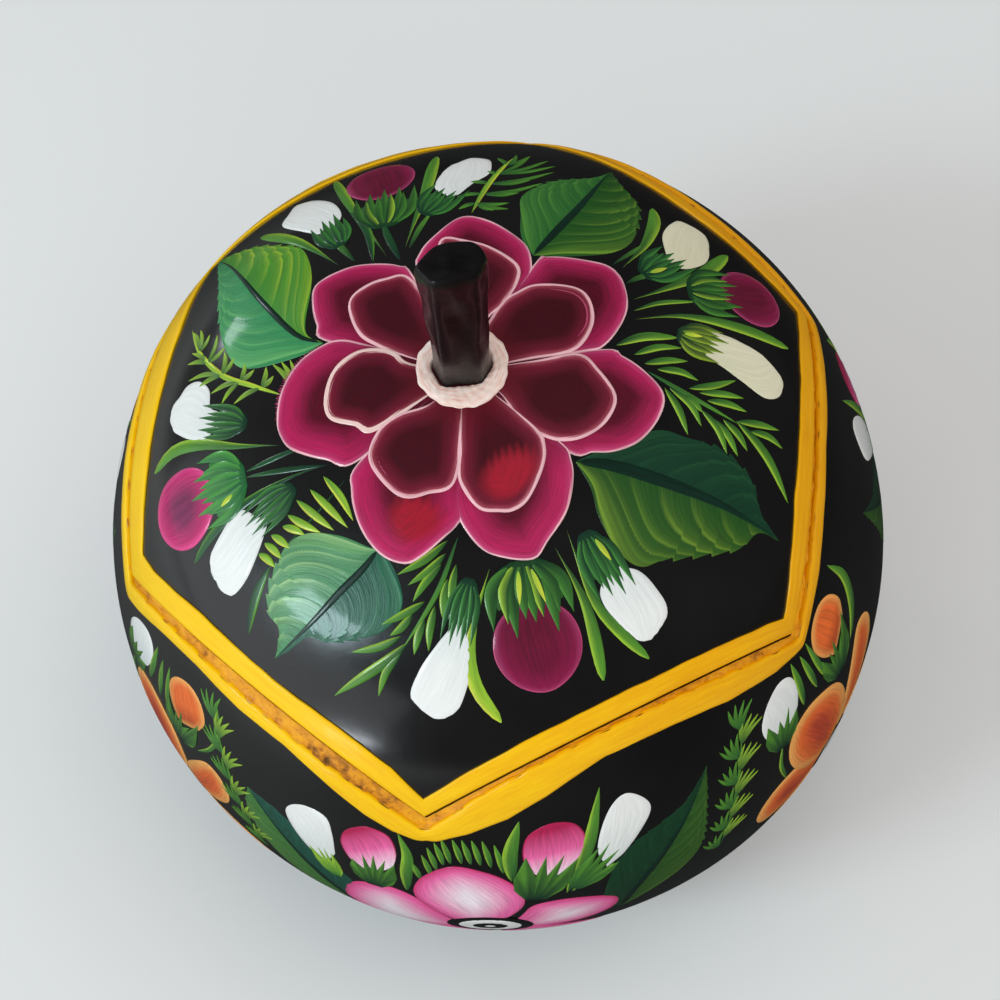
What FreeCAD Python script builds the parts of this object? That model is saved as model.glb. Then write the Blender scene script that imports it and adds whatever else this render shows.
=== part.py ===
"""Lidded gourd box, in millimetres.

A dried globe gourd is cut once round its shoulder by six straight, slanting knife cuts, so the
crown comes away as a lid that drops back into its own hexagonal seat. A shallow channel is
carved along the bowl's rim. A raised coat of yellow enamel runs along the lid's edge and
beyond the channel. The stalk stands in a socket at the crown, inside a pale collar, and
serves as the lid's handle.
+Z is up and the origin is the centre of the flat foot.
"""
import FreeCAD
import Part
import Sketcher
import math
import os

Vector = FreeCAD.Vector
Constraint = Sketcher.Constraint
UP = Vector(0, 0, 1)

# Driving dimensions: alias, value, what it is. Lengths in millimetres, angles in degrees.
SIZES = [
    ("body_radius", 80.0, "widest radius, at the belly"),
    ("crown_height", 79.0, "crown above the belly"),
    ("base_depth", 72.0, "foot below the belly"),
    ("crown_radius", 114.0, "curve of the crown"),
    ("shoulder_radius", 47.0, "curve of the shoulder"),
    ("belly_radius", 107.0, "upright curve of the belly"),
    ("bilge_radius", 48.0, "curve from the belly in to the foot"),
    ("wall", 5.0, "thickness of the dried shell"),
    ("scar_radius", 7.0, "blossom scar under the foot"),
    ("scar_depth", 1.6, "depth of the blossom scar"),
    ("cut_slope", 14.0, "how far the knife leans out from upright"),
    ("cut_clearance", 0.3, "running gap between lid and bowl, seen from above"),
    ("groove_width", 1.9, "channel carved along the bowl's rim, seen from above"),
    ("groove_depth", 1.0, "channel below the outside"),
    ("coat", 0.5, "thickness of the yellow enamel"),
    ("coat_clearance", 0.05, "the enamel's underside to the gourd"),
    ("bowl_band_width", 3.4, "enamel beyond the channel, seen from above"),
    ("lid_band_width", 3.6, "enamel above the cut, seen from above"),
    ("seat_depth", 1.5, "socket for the stalk"),
    ("seat_clearance", 0.1, "socket wall to stalk"),
    ("collar_reach", 8.6, "outer radius of the pale collar"),
    ("collar_rise", 1.0, "thickness of the collar"),
    ("collar_round", 0.6, "rounding of the collar's edge"),
    ("collar_clearance", 0.2, "collar to stalk"),
    ("stalk_length", 34.5, "stalk, with its seated end"),
    ("stalk_foot_radius", 5.2, "stalk where it is seated, to its corners"),
    ("stalk_head_radius", 6.2, "stalk at its cut end, to its corners"),
    ("stalk_lean", 1.0, "cut end off the axis, towards +X"),
    ("stalk_cut_tilt", 20.0, "slant of the cut end, down towards the back"),
    ("stalk_head_round", 1.0, "worn edge of the cut end"),
    ("overrun", 12.0, "how far a cutting solid runs past what it cuts"),
    ("azimuth_a", -82.7, "first corner of the cut, seen from above, from the front towards +X"),
    ("azimuth_b", -19.3, "second corner"),
    ("azimuth_c", 44.8, "third corner"),
    ("azimuth_d", 100.1, "fourth corner"),
    ("azimuth_e", 161.2, "fifth corner"),
    ("azimuth_f", 221.6, "sixth corner"),
    ("reach_a", 57.8, "first corner of the cut at belly level, from the axis"),
    ("reach_b", 58.4, "second corner"),
    ("reach_c", 55.5, "third corner"),
    ("reach_d", 53.7, "fourth corner"),
    ("reach_e", 57.4, "fifth corner"),
    ("reach_f", 60.2, "sixth corner"),
]

# The six corners of the cut, in order round the axis.
CORNER_NAMES = "abcdef"

# The stalk's sections above its straight foot: share of the height from there to the head, of
# the head's radius and of the lean.
STALK_SECTION_SHARES = [(0.13, 0.94, 0.1), (0.45, 0.88, 0.3), (0.75, 0.93, 0.7), (1.0, 1.0, 1.0)]

# The stalk's six corners: azimuth from the front and share of the section's radius.
STALK_CORNER_SHARES = [(-88, 0.97), (-30, 1.0), (27, 0.96), (86, 1.0), (150, 0.95), (214, 0.98)]

doc = FreeCAD.newDocument("gourd_box")
sheet = doc.addObject("Spreadsheet::Sheet", "sizes")


def fill_sheet():
    """Writes every driving dimension into the sheet, one alias a row."""
    for row, (alias, value, note) in enumerate(SIZES, start=1):
        sheet.set(f"A{row}", alias)
        sheet.set(f"B{row}", str(value))
        sheet.setAlias(f"B{row}", alias)
        sheet.set(f"C{row}", note)
    doc.recompute()


def size(alias):
    return float(sheet.get(alias))


def bound(sketch, kind, elements, name, expression):
    """Adds a dimension to the sketch and binds its value to the sheet."""
    value = float(sketch.evalExpression(expression))
    number = sketch.addConstraint(Constraint(kind, *elements, value))
    sketch.renameConstraint(number, name)
    sketch.setExpression("Constraints." + name, expression)


def sketch_on(body, name, plane_role):
    """A sketch on one of the body's own origin planes."""
    plane = next(f for f in body.Origin.OriginFeatures if f.Role == plane_role)
    sketch = body.newObject("Sketcher::SketchObject", name)
    sketch.AttachmentSupport = [(plane, "")]
    sketch.MapMode = "FlatFace"
    return sketch


def arc_centres():
    """Centres (radius, height above the belly) of the crown, shoulder, belly and bilge arcs."""
    crown = Vector(0, size("crown_height") - size("crown_radius"), 0)
    belly = Vector(size("body_radius") - size("belly_radius"), 0, 0)
    to_crown = size("crown_radius") - size("shoulder_radius")
    to_belly = size("belly_radius") - size("shoulder_radius")
    line = belly - crown
    along = (to_crown ** 2 - to_belly ** 2 + line.Length ** 2) / (2 * line.Length)
    across = math.sqrt(to_crown ** 2 - along ** 2)
    unit = Vector(line).normalize()
    shoulder = crown + unit * along + Vector(unit.y, -unit.x, 0) * across
    drop = size("bilge_radius") - size("base_depth")
    to_bilge = size("belly_radius") - size("bilge_radius")
    bilge = Vector(belly.x + math.sqrt(to_bilge ** 2 - drop ** 2), drop, 0)
    return crown, shoulder, belly, bilge


def bearing(vector):
    return math.atan2(vector.y, vector.x)


def outline(sketch, tag, inward, whole):
    """The gourd's half outline as tangent arcs, moved inward by an expression.

    Returns the numbers of the first and last piece of geometry. A whole outline ends in the
    foot's line, and the other kind ends at the belly.
    """
    crown, shoulder, belly, bilge = arc_centres()
    moved = float(sketch.evalExpression(inward))
    to_shoulder = bearing(shoulder - crown)
    to_belly = bearing(shoulder - belly)
    low_end = bearing(bilge - belly) if whole else 0.0

    def arc(centre, radius_alias, start, end):
        circle = Part.Circle(centre, UP, size(radius_alias) - moved)
        number = sketch.addGeometry(Part.ArcOfCircle(circle, start, end))
        bound(sketch, "Radius", [number], f"{tag}_{radius_alias}",
              f"sizes.{radius_alias} - ({inward})")
        return number

    crown_arc = arc(crown, "crown_radius", to_shoulder, math.pi / 2)
    sketch.addConstraint(Constraint("PointOnObject", crown_arc, 3, -2))
    sketch.addConstraint(Constraint("PointOnObject", crown_arc, 2, -2))
    bound(sketch, "DistanceY", [crown_arc, 3, -1, 1], tag + "_crown_centre",
          "sizes.crown_radius - sizes.crown_height")
    shoulder_arc = arc(shoulder, "shoulder_radius", to_belly, to_shoulder)
    sketch.addConstraint(Constraint("Tangent", crown_arc, 1, shoulder_arc, 2))
    belly_arc = arc(belly, "belly_radius", low_end, to_belly)
    sketch.addConstraint(Constraint("Tangent", shoulder_arc, 1, belly_arc, 2))
    sketch.addConstraint(Constraint("PointOnObject", belly_arc, 3, -1))
    bound(sketch, "DistanceX", [belly_arc, 3, -1, 1], tag + "_belly_centre",
          "sizes.belly_radius - sizes.body_radius")
    if not whole:
        sketch.addConstraint(Constraint("PointOnObject", belly_arc, 1, -1))
        return crown_arc, belly_arc

    bilge_arc = arc(bilge, "bilge_radius", -math.pi / 2, low_end)
    sketch.addConstraint(Constraint("Tangent", belly_arc, 1, bilge_arc, 2))
    foot_height = moved - size("base_depth")
    foot_line = sketch.addGeometry(
        Part.LineSegment(Vector(bilge.x, foot_height), Vector(0, foot_height)))
    sketch.addConstraint(Constraint("Tangent", bilge_arc, 1, foot_line, 1))
    sketch.addConstraint(Constraint("PointOnObject", foot_line, 2, -2))
    sketch.addConstraint(Constraint("Horizontal", foot_line))
    bound(sketch, "DistanceY", [foot_line, 2, -1, 1], tag + "_foot",
          f"sizes.base_depth - ({inward})")
    return crown_arc, foot_line


def join_ends(sketch, first, first_end, second, second_end):
    """A straight line that closes the wire between two open ends."""
    line = sketch.addGeometry(Part.LineSegment(sketch.getPoint(first, first_end),
                                               sketch.getPoint(second, second_end)))
    sketch.addConstraint(Constraint("Coincident", line, 1, first, first_end))
    sketch.addConstraint(Constraint("Coincident", line, 2, second, second_end))


def turned(body, sketch):
    """The body's sketch turned once round the upright axis."""
    revolution = body.newObject("PartDesign::Revolution", body.Name + "_turned")
    revolution.Profile = sketch
    revolution.ReferenceAxis = (sketch, ["V_Axis"])
    revolution.Angle = 360
    doc.recompute()
    return revolution


def turned_layer(name, outer_inward, inner_inward, whole):
    """A body between two offsets of the outline."""
    body = doc.addObject("PartDesign::Body", name)
    body.setExpression("Placement.Base.z", "sizes.base_depth")
    sketch = sketch_on(body, name + "_outline", "XZ_Plane")
    outer_first, outer_last = outline(sketch, "outer", outer_inward, whole)
    inner_first, inner_last = outline(sketch, "inner", inner_inward, whole)
    last_end = 2 if whole else 1
    join_ends(sketch, outer_first, 2, inner_first, 2)
    join_ends(sketch, outer_last, last_end, inner_last, last_end)
    turned(body, sketch)
    return body


def polygon(sketch, corners):
    """Straight sides between corners, each an azimuth and a reach given as expressions."""
    count = len(corners)
    places = []
    for azimuth, reach in corners:
        turn = f"{azimuth} * 1 deg"
        places.append((f"{reach} * sin({turn})", f"-({reach}) * cos({turn})"))
    points = [Vector(*(float(sketch.evalExpression(text)) for text in place)) for place in places]
    for number in range(count):
        sketch.addGeometry(Part.LineSegment(points[number], points[(number + 1) % count]))
    for number, (across, along) in enumerate(places):
        sketch.addConstraint(Constraint("Coincident", number, 2, (number + 1) % count, 1))
        bound(sketch, "DistanceX", [-1, 1, number, 1], f"across_{number}", across)
        bound(sketch, "DistanceY", [-1, 1, number, 1], f"along_{number}", along)


def cut_hexagon():
    """The six knife cuts at belly level, seen from above."""
    sketch = doc.addObject("Sketcher::SketchObject", "cut_hexagon")
    sketch.setExpression("Placement.Base.z", "sizes.base_depth")
    polygon(sketch, [(f"sizes.azimuth_{letter}", f"sizes.reach_{letter}") for letter in CORNER_NAMES])
    return sketch


def moved_cut(name, hexagon, reach, corners):
    """The knife cuts moved outward by an expression, with pointed or rounded corners."""
    moved = doc.addObject("Part::Offset2D", name)
    moved.Source = hexagon
    moved.Fill = False
    moved.Join = corners
    moved.setExpression("Value", reach)
    return moved


def knife_solid(name, outline_at_belly):
    """All that lies inside the slanting cuts, from the belly to above the crown."""
    solid = doc.addObject("Part::Extrusion", name)
    solid.Base = outline_at_belly
    solid.DirMode = "Custom"
    solid.Dir = UP
    solid.Solid = True
    solid.setExpression("LengthFwd", "sizes.crown_height + sizes.overrun")
    solid.setExpression("TaperAngle", "sizes.cut_slope")
    return solid


def combined(kind, name, base, tool):
    result = doc.addObject("Part::" + kind, name)
    result.Base = base
    result.Tool = tool
    return result


def scar_dimple():
    """A ball that leaves the shallow blossom scar under the foot."""
    ball = doc.addObject("Part::Sphere", "scar_dimple")
    radius = "(sizes.scar_radius ^ 2 + sizes.scar_depth ^ 2) / (2 * sizes.scar_depth)"
    ball.setExpression("Radius", radius)
    ball.setExpression("Placement.Base.z", f"sizes.scar_depth - {radius}")
    return ball


def stem_seat():
    """The round socket in the crown that takes the stalk's foot."""
    seat = doc.addObject("Part::Cylinder", "stem_seat")
    seat.setExpression("Radius", "sizes.stalk_foot_radius + sizes.seat_clearance")
    seat.setExpression("Height", "sizes.seat_depth + sizes.overrun")
    seat.setExpression("Placement.Base.z", "sizes.base_depth + sizes.crown_height - sizes.seat_depth")
    return seat


def stem_section(body, name, height, across, radius):
    """A six-sided section of the stalk, from expressions for its height, place and radius."""
    section = sketch_on(body, name, "XY_Plane")
    polygon(section, [(azimuth, f"({radius}) * {share}") for azimuth, share in STALK_CORNER_SHARES])
    section.setExpression("AttachmentOffset.Base.z", height)
    section.setExpression("AttachmentOffset.Base.x", across)
    return section


def stem_loft(body, name, sections, ruled):
    loft = body.newObject("PartDesign::AdditiveLoft", name)
    loft.Profile = sections[0]
    loft.Sections = sections[1:]
    loft.Ruled = ruled
    doc.recompute()


def stem():
    """The stalk: a straight foot, a leaning six-sided length and a slanting, worn cut end."""
    body = doc.addObject("PartDesign::Body", "stem")
    body.setExpression("Placement.Base.z",
                       "sizes.base_depth + sizes.crown_height - sizes.seat_depth")
    foot_top = "sizes.seat_depth + sizes.collar_rise"
    foot_section = stem_section(body, "stem_foot_section", "0", "0", "sizes.stalk_foot_radius")
    foot = body.newObject("PartDesign::Pad", "stem_foot")
    foot.Profile = foot_section
    foot.setExpression("Length", foot_top)

    sections = [stem_section(body, "stem_section_0", foot_top, "0", "sizes.stalk_foot_radius")]
    for height_share, radius_share, lean_share in STALK_SECTION_SHARES:
        reach = f"sizes.stalk_length - sizes.stalk_head_round - ({foot_top})"
        sections.append(stem_section(
            body, f"stem_section_{len(sections)}", f"{foot_top} + ({reach}) * {height_share}",
            f"sizes.stalk_lean * {lean_share}", f"sizes.stalk_head_radius * {radius_share}"))
    worn_end = stem_section(body, "stem_worn_section", "sizes.stalk_length", "sizes.stalk_lean",
                            "sizes.stalk_head_radius - sizes.stalk_head_round")
    for section in (sections[-1], worn_end):
        section.AttachmentOffset = FreeCAD.Placement(Vector(), FreeCAD.Rotation(Vector(1, 0, 0), 1))
        section.setExpression("AttachmentOffset.Rotation.Angle", "-sizes.stalk_cut_tilt")
    doc.recompute()
    stem_loft(body, "stem_length", sections, False)
    stem_loft(body, "stem_worn_end", [sections[-1], worn_end], True)
    return body


def stem_collar():
    """The pale ring round the stalk, which follows the curve of the crown."""
    body = doc.addObject("PartDesign::Body", "stem_collar")
    body.setExpression("Placement.Base.z", "sizes.base_depth")
    sketch = sketch_on(body, "stem_collar_outline", "XZ_Plane")
    centre = Vector(0, size("crown_height") - size("crown_radius"))
    bore = "sizes.stalk_foot_radius + sizes.collar_clearance"
    faces = [("under", "sizes.crown_radius"), ("over", "sizes.crown_radius + sizes.collar_rise")]
    arcs = []
    for tag, radius in faces:
        length = float(sketch.evalExpression(radius))
        start = math.acos(size("collar_reach") / length)
        end = math.acos(float(sketch.evalExpression(bore)) / length)
        arc = sketch.addGeometry(Part.ArcOfCircle(Part.Circle(centre, UP, length), start, end))
        sketch.addConstraint(Constraint("PointOnObject", arc, 3, -2))
        bound(sketch, "DistanceY", [arc, 3, -1, 1], tag + "_centre",
              "sizes.crown_radius - sizes.crown_height")
        bound(sketch, "Radius", [arc], tag + "_radius", radius)
        bound(sketch, "DistanceX", [-1, 1, arc, 1], tag + "_reach", "sizes.collar_reach")
        bound(sketch, "DistanceX", [-1, 1, arc, 2], tag + "_bore", bore)
        arcs.append(arc)
    under, over = arcs
    join_ends(sketch, under, 1, over, 1)
    join_ends(sketch, under, 2, over, 2)
    blank = turned(body, sketch)
    circles = [number for number, edge in enumerate(blank.Shape.Edges, start=1) if edge.isClosed()]
    rim = max(circles, key=lambda number: outward_and_up(blank.Shape.Edges[number - 1]))
    rounded = body.newObject("PartDesign::Fillet", "stem_collar_rounded")
    rounded.Base = (blank, [f"Edge{rim}"])
    rounded.setExpression("Radius", "sizes.collar_round")
    doc.recompute()
    return body


def outward_and_up(circle):
    """Ranks a round edge by how far out and up it lies."""
    return circle.BoundBox.XMax + circle.BoundBox.ZMax


def knife_solids():
    """The nested solids whose slanting sides bound the lid, the channel and the two bands."""
    hexagon = cut_hexagon()
    reaches = [
        ("lid_cut", "-sizes.cut_clearance", "Intersection"),
        ("lid_band_edge", "-sizes.cut_clearance - sizes.lid_band_width", "Intersection"),
        ("groove_edge", "sizes.groove_width", "Intersection"),
        ("bowl_band_edge", "sizes.groove_width + sizes.bowl_band_width", "Arc"),
    ]
    solids = {"bowl_cut": knife_solid("bowl_cut", hexagon)}
    for name, reach, corners in reaches:
        solids[name] = knife_solid(name, moved_cut(name + "_outline", hexagon, reach, corners))
    return solids


def bowl_pieces(whole_gourd, coat_layer, knife):
    """The bowl with its carved channel and blossom scar, and the enamel beyond the channel."""
    carved_layer = turned_layer("carved_layer", "-sizes.overrun", "sizes.groove_depth", False)
    channel = combined("Common", "channel", carved_layer, knife["groove_edge"])
    bowl_blank = combined("Cut", "bowl_blank", whole_gourd, knife["bowl_cut"])
    bowl_carved = combined("Cut", "bowl_carved", bowl_blank, channel)
    bowl_shell = combined("Cut", "bowl_shell", bowl_carved, scar_dimple())
    ring = combined("Cut", "bowl_band_ring", knife["bowl_band_edge"], knife["groove_edge"])
    return [bowl_shell, combined("Common", "bowl_rim_band", coat_layer, ring)]


def lid_pieces(whole_gourd, coat_layer, knife):
    """The lid with the stalk's socket, and the enamel along its edge."""
    lid_blank = combined("Common", "lid_blank", whole_gourd, knife["lid_cut"])
    lid_shell = combined("Cut", "lid_shell", lid_blank, stem_seat())
    ring = combined("Cut", "lid_band_ring", knife["lid_cut"], knife["lid_band_edge"])
    return [lid_shell, combined("Common", "lid_rim_band", coat_layer, ring)]


def build():
    """Grows the gourd, makes the cuts, and returns the six finished sub-parts."""
    fill_sheet()
    whole_gourd = turned_layer("whole_gourd", "0", "sizes.wall", True)
    coat_layer = turned_layer("coat_layer", "-sizes.coat_clearance - sizes.coat",
                              "-sizes.coat_clearance", False)
    knife = knife_solids()
    pieces = bowl_pieces(whole_gourd, coat_layer, knife)
    pieces += lid_pieces(whole_gourd, coat_layer, knife)
    doc.recompute()
    return pieces + [stem(), stem_collar()]


def check_and_write(pieces):
    """Stops on any failed object, then writes one STEP file for each sub-part."""
    doc.recompute()
    for item in doc.Objects:
        for fault in ("Invalid", "Error"):
            if fault in item.State:
                raise RuntimeError(f"{item.Name} is {item.State}")
    os.makedirs("parts", exist_ok=True)
    for piece in pieces:
        shape = piece.Shape
        if shape.isNull() or not shape.isValid():
            raise RuntimeError(f"{piece.Label} has no valid shape")
        shape.exportStep(f"parts/{piece.Label}.step")
        box = shape.BoundBox
        print(f"{piece.Label}: {len(shape.Solids)} solid, {shape.Volume:.0f} mm3, "
              f"z {box.ZMin:.1f} to {box.ZMax:.1f}")


check_and_write(build())
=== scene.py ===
# %% [markdown]
# # A lidded gourd box
#
# A dried globe gourd, cut round its shoulder by six slanting knife cuts, lacquered black and
# painted by hand with flowers. This lesson rebuilds it piece by piece over its measured frame:
# first the gourd itself, then the enamel along the cut, the stalk, and last the brush strokes.
# Lengths are in millimetres until a mesh is made, because that is how a maker reads a gourd.

# %% Load the frame
import math
import bpy
import numpy as np
from mathutils import Matrix


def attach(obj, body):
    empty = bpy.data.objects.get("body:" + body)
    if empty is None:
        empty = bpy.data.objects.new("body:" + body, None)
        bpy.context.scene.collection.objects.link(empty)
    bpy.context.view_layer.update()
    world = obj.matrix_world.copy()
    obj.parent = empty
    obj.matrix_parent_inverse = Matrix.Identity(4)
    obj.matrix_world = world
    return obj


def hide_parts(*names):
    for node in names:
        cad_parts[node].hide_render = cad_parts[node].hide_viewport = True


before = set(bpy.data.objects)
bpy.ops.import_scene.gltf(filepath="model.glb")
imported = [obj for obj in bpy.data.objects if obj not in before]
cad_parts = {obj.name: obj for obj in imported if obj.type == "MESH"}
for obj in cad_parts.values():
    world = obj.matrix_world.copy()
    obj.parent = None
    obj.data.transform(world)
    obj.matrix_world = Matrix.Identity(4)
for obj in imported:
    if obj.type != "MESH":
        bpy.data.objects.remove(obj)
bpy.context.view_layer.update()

MM = 0.001                     # metres in a millimetre
chance = np.random.default_rng(7)

# %% [markdown]
# ## The gourd's outline
#
# A globe gourd is a squat ball with a flat crown, a tight shoulder, a full belly and a foot that
# was sanded flat. Four tangent arcs give that outline, the same four as in the frame. A place
# on the skin is named as a painter would: how far round from the front, and how far down from
# the stalk, measured along the skin. So a stroke keeps its real length wherever it lies.

# %% Outline of the gourd
BELLY_RADIUS, CROWN_HEIGHT, FOOT_DEPTH = 80.0, 79.0, 72.0
CROWN_CURVE, SHOULDER_CURVE, BELLY_CURVE, BILGE_CURVE = 114.0, 47.0, 107.0, 48.0
WALL = 5.0


def curve_centres():
    """Centres (radius, height over the belly) of the crown, shoulder, belly and bilge arcs."""
    crown = np.array([0.0, CROWN_HEIGHT - CROWN_CURVE])
    belly = np.array([BELLY_RADIUS - BELLY_CURVE, 0.0])
    to_crown, to_belly = CROWN_CURVE - SHOULDER_CURVE, BELLY_CURVE - SHOULDER_CURVE
    line = belly - crown
    length = np.hypot(*line)
    along = (to_crown ** 2 - to_belly ** 2 + length ** 2) / (2 * length)
    across = math.sqrt(to_crown ** 2 - along ** 2)
    shoulder = crown + (along * line + across * np.array([line[1], -line[0]])) / length
    drop = BILGE_CURVE - FOOT_DEPTH
    bilge = np.array([belly[0] + math.sqrt((BELLY_CURVE - BILGE_CURVE) ** 2 - drop ** 2), drop])
    return crown, shoulder, belly, bilge


CENTRES = np.array(curve_centres())
CURVES = np.array([CROWN_CURVE, SHOULDER_CURVE, BELLY_CURVE, BILGE_CURVE])
TURNS = np.array([0.0,
                  math.atan2(*(CENTRES[1] - CENTRES[0])),
                  math.atan2(*(CENTRES[1] - CENTRES[2])),
                  math.atan2(*(CENTRES[3] - CENTRES[2])),
                  math.pi])
STARTS = np.concatenate([[0.0], np.cumsum(CURVES * np.diff(TURNS))])
FOOT_EDGE = STARTS[-1]          # down the skin, where the flat foot begins
FOOT_RADIUS = CENTRES[3][0]
BELLY_DOWN = STARTS[2] + BELLY_CURVE * (math.pi / 2 - TURNS[2])


def outline(down):
    """(radius, height, tilt): radius = centre + curve * sin(tilt), height = centre + curve *
    cos(tilt) on the arc that holds `down`, and past the last arc the flat foot."""
    down = np.asarray(down, float)
    arc = np.clip(np.searchsorted(STARTS, down, side="right") - 1, 0, 3)
    tilt = np.minimum(TURNS[arc] + (down - STARTS[arc]) / CURVES[arc], math.pi)
    radius = CENTRES[arc, 0] + CURVES[arc] * np.sin(tilt)
    radius = np.where(down > FOOT_EDGE, np.maximum(FOOT_RADIUS - (down - FOOT_EDGE), 0), radius)
    return radius, CENTRES[arc, 1] + CURVES[arc] * np.cos(tilt), tilt


# Each wave of a table: its height, how often it goes along the first and the second way, its start
SKIN_WAVES = ((0.13, 3, 0.045, 0), (0.09, 7, -0.06, 0), (0.07, 2, 0.11, 0))
CROWN_CALM, FOOT_CALM = 25.0, 40.0        # the skin's waves die out over these, at stalk and foot


def waves(table, first, second=0.0):
    """The sum of height * sin(a * first + b * second + start) over the rows of a table."""
    return sum(height * np.sin(a * first + b * second + start) for height, a, b, start in table)


def swell(azimuth, down):
    """A gourd is never quite round: slow waves of a tenth of a millimetre or two."""
    calm = np.clip(down / CROWN_CALM, 0, 1) * np.clip((FOOT_EDGE - down) / FOOT_CALM, 0, 1)
    return calm * waves(SKIN_WAVES, azimuth, down)


def skin(azimuth, down, rise=0.0):
    """Points `rise` over the skin: the outline turned to `azimuth` and moved along its normal."""
    radius, height, tilt = outline(down)
    lift = rise + swell(azimuth, down)
    radius, height = radius + lift * np.sin(tilt), height + lift * np.cos(tilt)
    return np.stack([radius * np.sin(azimuth), -radius * np.cos(azimuth),
                     FOOT_DEPTH + height + 0 * azimuth], axis=-1)


print(f"skin from stalk to foot edge {FOOT_EDGE:.1f} mm, belly at {BELLY_DOWN:.1f} mm")

# %% [markdown]
# ## The knife cuts
#
# Six straight cuts with a knife that leans out 14 degrees take the crown off. Seen from above
# they are a hexagon that grows with height. What lies along the cut (channel, enamel, edges) is
# placed by its distance from that hexagon, so one function answers "how far from the cut is
# this point", and a second walks down the skin until that distance is the wanted one.

# %% The six cuts
CUT_SLOPE = math.tan(math.radians(14.0))
CORNER_AZIMUTHS = np.radians([-82.7, -19.3, 44.8, 100.1, 161.2, 221.6])
CORNER_REACHES = np.array([57.8, 58.4, 55.5, 53.7, 57.4, 60.2])
CORNERS = CORNER_REACHES[:, None] * np.stack([np.sin(CORNER_AZIMUTHS), -np.cos(CORNER_AZIMUTHS)], 1)
SIDES = np.roll(CORNERS, -1, axis=0) - CORNERS
SIDE_NORMALS = np.stack([SIDES[:, 1], -SIDES[:, 0]], 1) / np.hypot(*SIDES.T)[:, None]
CORNER_COUNT = len(CORNERS)
CORNER_DRIFT = np.array([np.linalg.solve([SIDE_NORMALS[k - 1], SIDE_NORMALS[k]], [1.0, 1.0])
                         for k in range(CORNER_COUNT)])
HALVINGS = 36
ABOVE_CUT = 20.0               # down the skin, still above every cut


def off_stretch(offset, way):
    """For places seen from the start of a straight stretch: the share of the stretch where it
    comes nearest, clip(offset . way / way . way), and how far away that is."""
    share = np.clip((offset * way).sum(-1) / np.maximum((way ** 2).sum(-1), 1e-9), 0, 1)
    return share, np.hypot(*np.moveaxis(offset - share[..., None] * way, -1, 0))


def halve(low, high, short):
    """Halves the stretch from low to high again and again, to where short(place) stops."""
    for _ in range(HALVINGS):
        middle = (low + high) / 2
        below = short(middle)
        low, high = np.where(below, middle, low), np.where(below, high, middle)
    return (low + high) / 2


def from_cut(points):
    """Distance in plan from the cut hexagon at each point's own height: the nearest of the six
    sides, negative inside (on the lid) and positive outside (on the bowl)."""
    grow = (points[..., 2] - FOOT_DEPTH) * CUT_SLOPE
    inside = np.full(grow.shape, True)
    nearest = np.full(grow.shape, np.inf)
    for k in range(CORNER_COUNT):
        start, end = (CORNERS[j] + grow[..., None] * CORNER_DRIFT[j] for j in (k, (k + 1) % CORNER_COUNT))
        offset = points[..., :2] - start
        nearest = np.minimum(nearest, off_stretch(offset, end - start)[1])
        inside &= (offset * SIDE_NORMALS[k]).sum(-1) < 0
    return np.where(inside, -nearest, nearest)


def walk_down(azimuth, distance, rise=0.0):
    """How far down the skin, at each azimuth, the distance from the cut is the wanted one."""
    return halve(np.full(np.shape(azimuth), ABOVE_CUT), BELLY_DOWN,
                 lambda down: from_cut(skin(azimuth, down, rise)) < distance)


def corner_azimuth(k):
    """Where the corner's slanting edge comes out through the skin, from the front."""
    def corner(up):
        return CORNERS[k] + up * CUT_SLOPE * CORNER_DRIFT[k]

    radius, height, _ = outline(np.linspace(0, BELLY_DOWN, 600))
    x, y = corner(halve(0.0, CROWN_HEIGHT, lambda up: np.hypot(*corner(up)) <
                        np.interp(up, height[::-1], radius[::-1])))
    return math.atan2(x, -y)


RIM_CORNERS = np.unwrap([corner_azimuth(k % CORNER_COUNT) for k in range(CORNER_COUNT + 1)])
COLUMNS_A_SIDE = 90
ROUND = np.concatenate([np.linspace(start, end, COLUMNS_A_SIDE, endpoint=False)
                        for start, end in zip(RIM_CORNERS, RIM_CORNERS[1:])])
CUT_DOWN = walk_down(ROUND, 0.0)
print("cut lies", CUT_DOWN.min().round(1), "to", CUT_DOWN.max().round(1), "mm down the skin")

# %% [markdown]
# ## Turning numbers into meshes
#
# Every surface here is a sheet of points, some joined to themselves all the way round. One
# function makes the mesh, gives it its finishes, and stores what the paint needs to know. Others
# close a sheet into a hoop, or into a body with a point at each end.

# %% Mesh tools
def make_piece(name, points, faces, finishes, face_finish=None, uv=None, marks=None):
    """A smooth mesh object from points in millimetres and faces, with its named measurements."""
    mesh = bpy.data.meshes.new(name)
    mesh.from_pydata((points * MM).tolist(), [], [list(face) for face in faces])
    mesh.polygons.foreach_set("use_smooth", np.full(len(mesh.polygons), True))
    for finish in finishes:
        mesh.materials.append(finish)
    if face_finish is not None:
        mesh.polygons.foreach_set("material_index", np.asarray(face_finish, np.int32))
    if uv is not None:
        corners = np.empty(len(mesh.loops), np.int32)
        mesh.loops.foreach_get("vertex_index", corners)
        layer = mesh.uv_layers.new(name="brush")
        layer.data.foreach_set("uv", uv[corners].astype(np.float32).ravel())
    for mark, values in (marks or {}).items():
        kind = "FLOAT_COLOR" if values.ndim == 2 else "FLOAT"
        attribute = mesh.attributes.new(mark, kind, "POINT")
        if kind == "FLOAT_COLOR":
            values = np.column_stack([values, np.ones(len(values))])
        attribute.data.foreach_set("color" if kind == "FLOAT_COLOR" else "value",
                                   values.astype(np.float32).ravel())
    mesh.validate()
    piece = bpy.data.objects.new(name, mesh)
    bpy.context.collection.objects.link(piece)
    return piece


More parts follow.
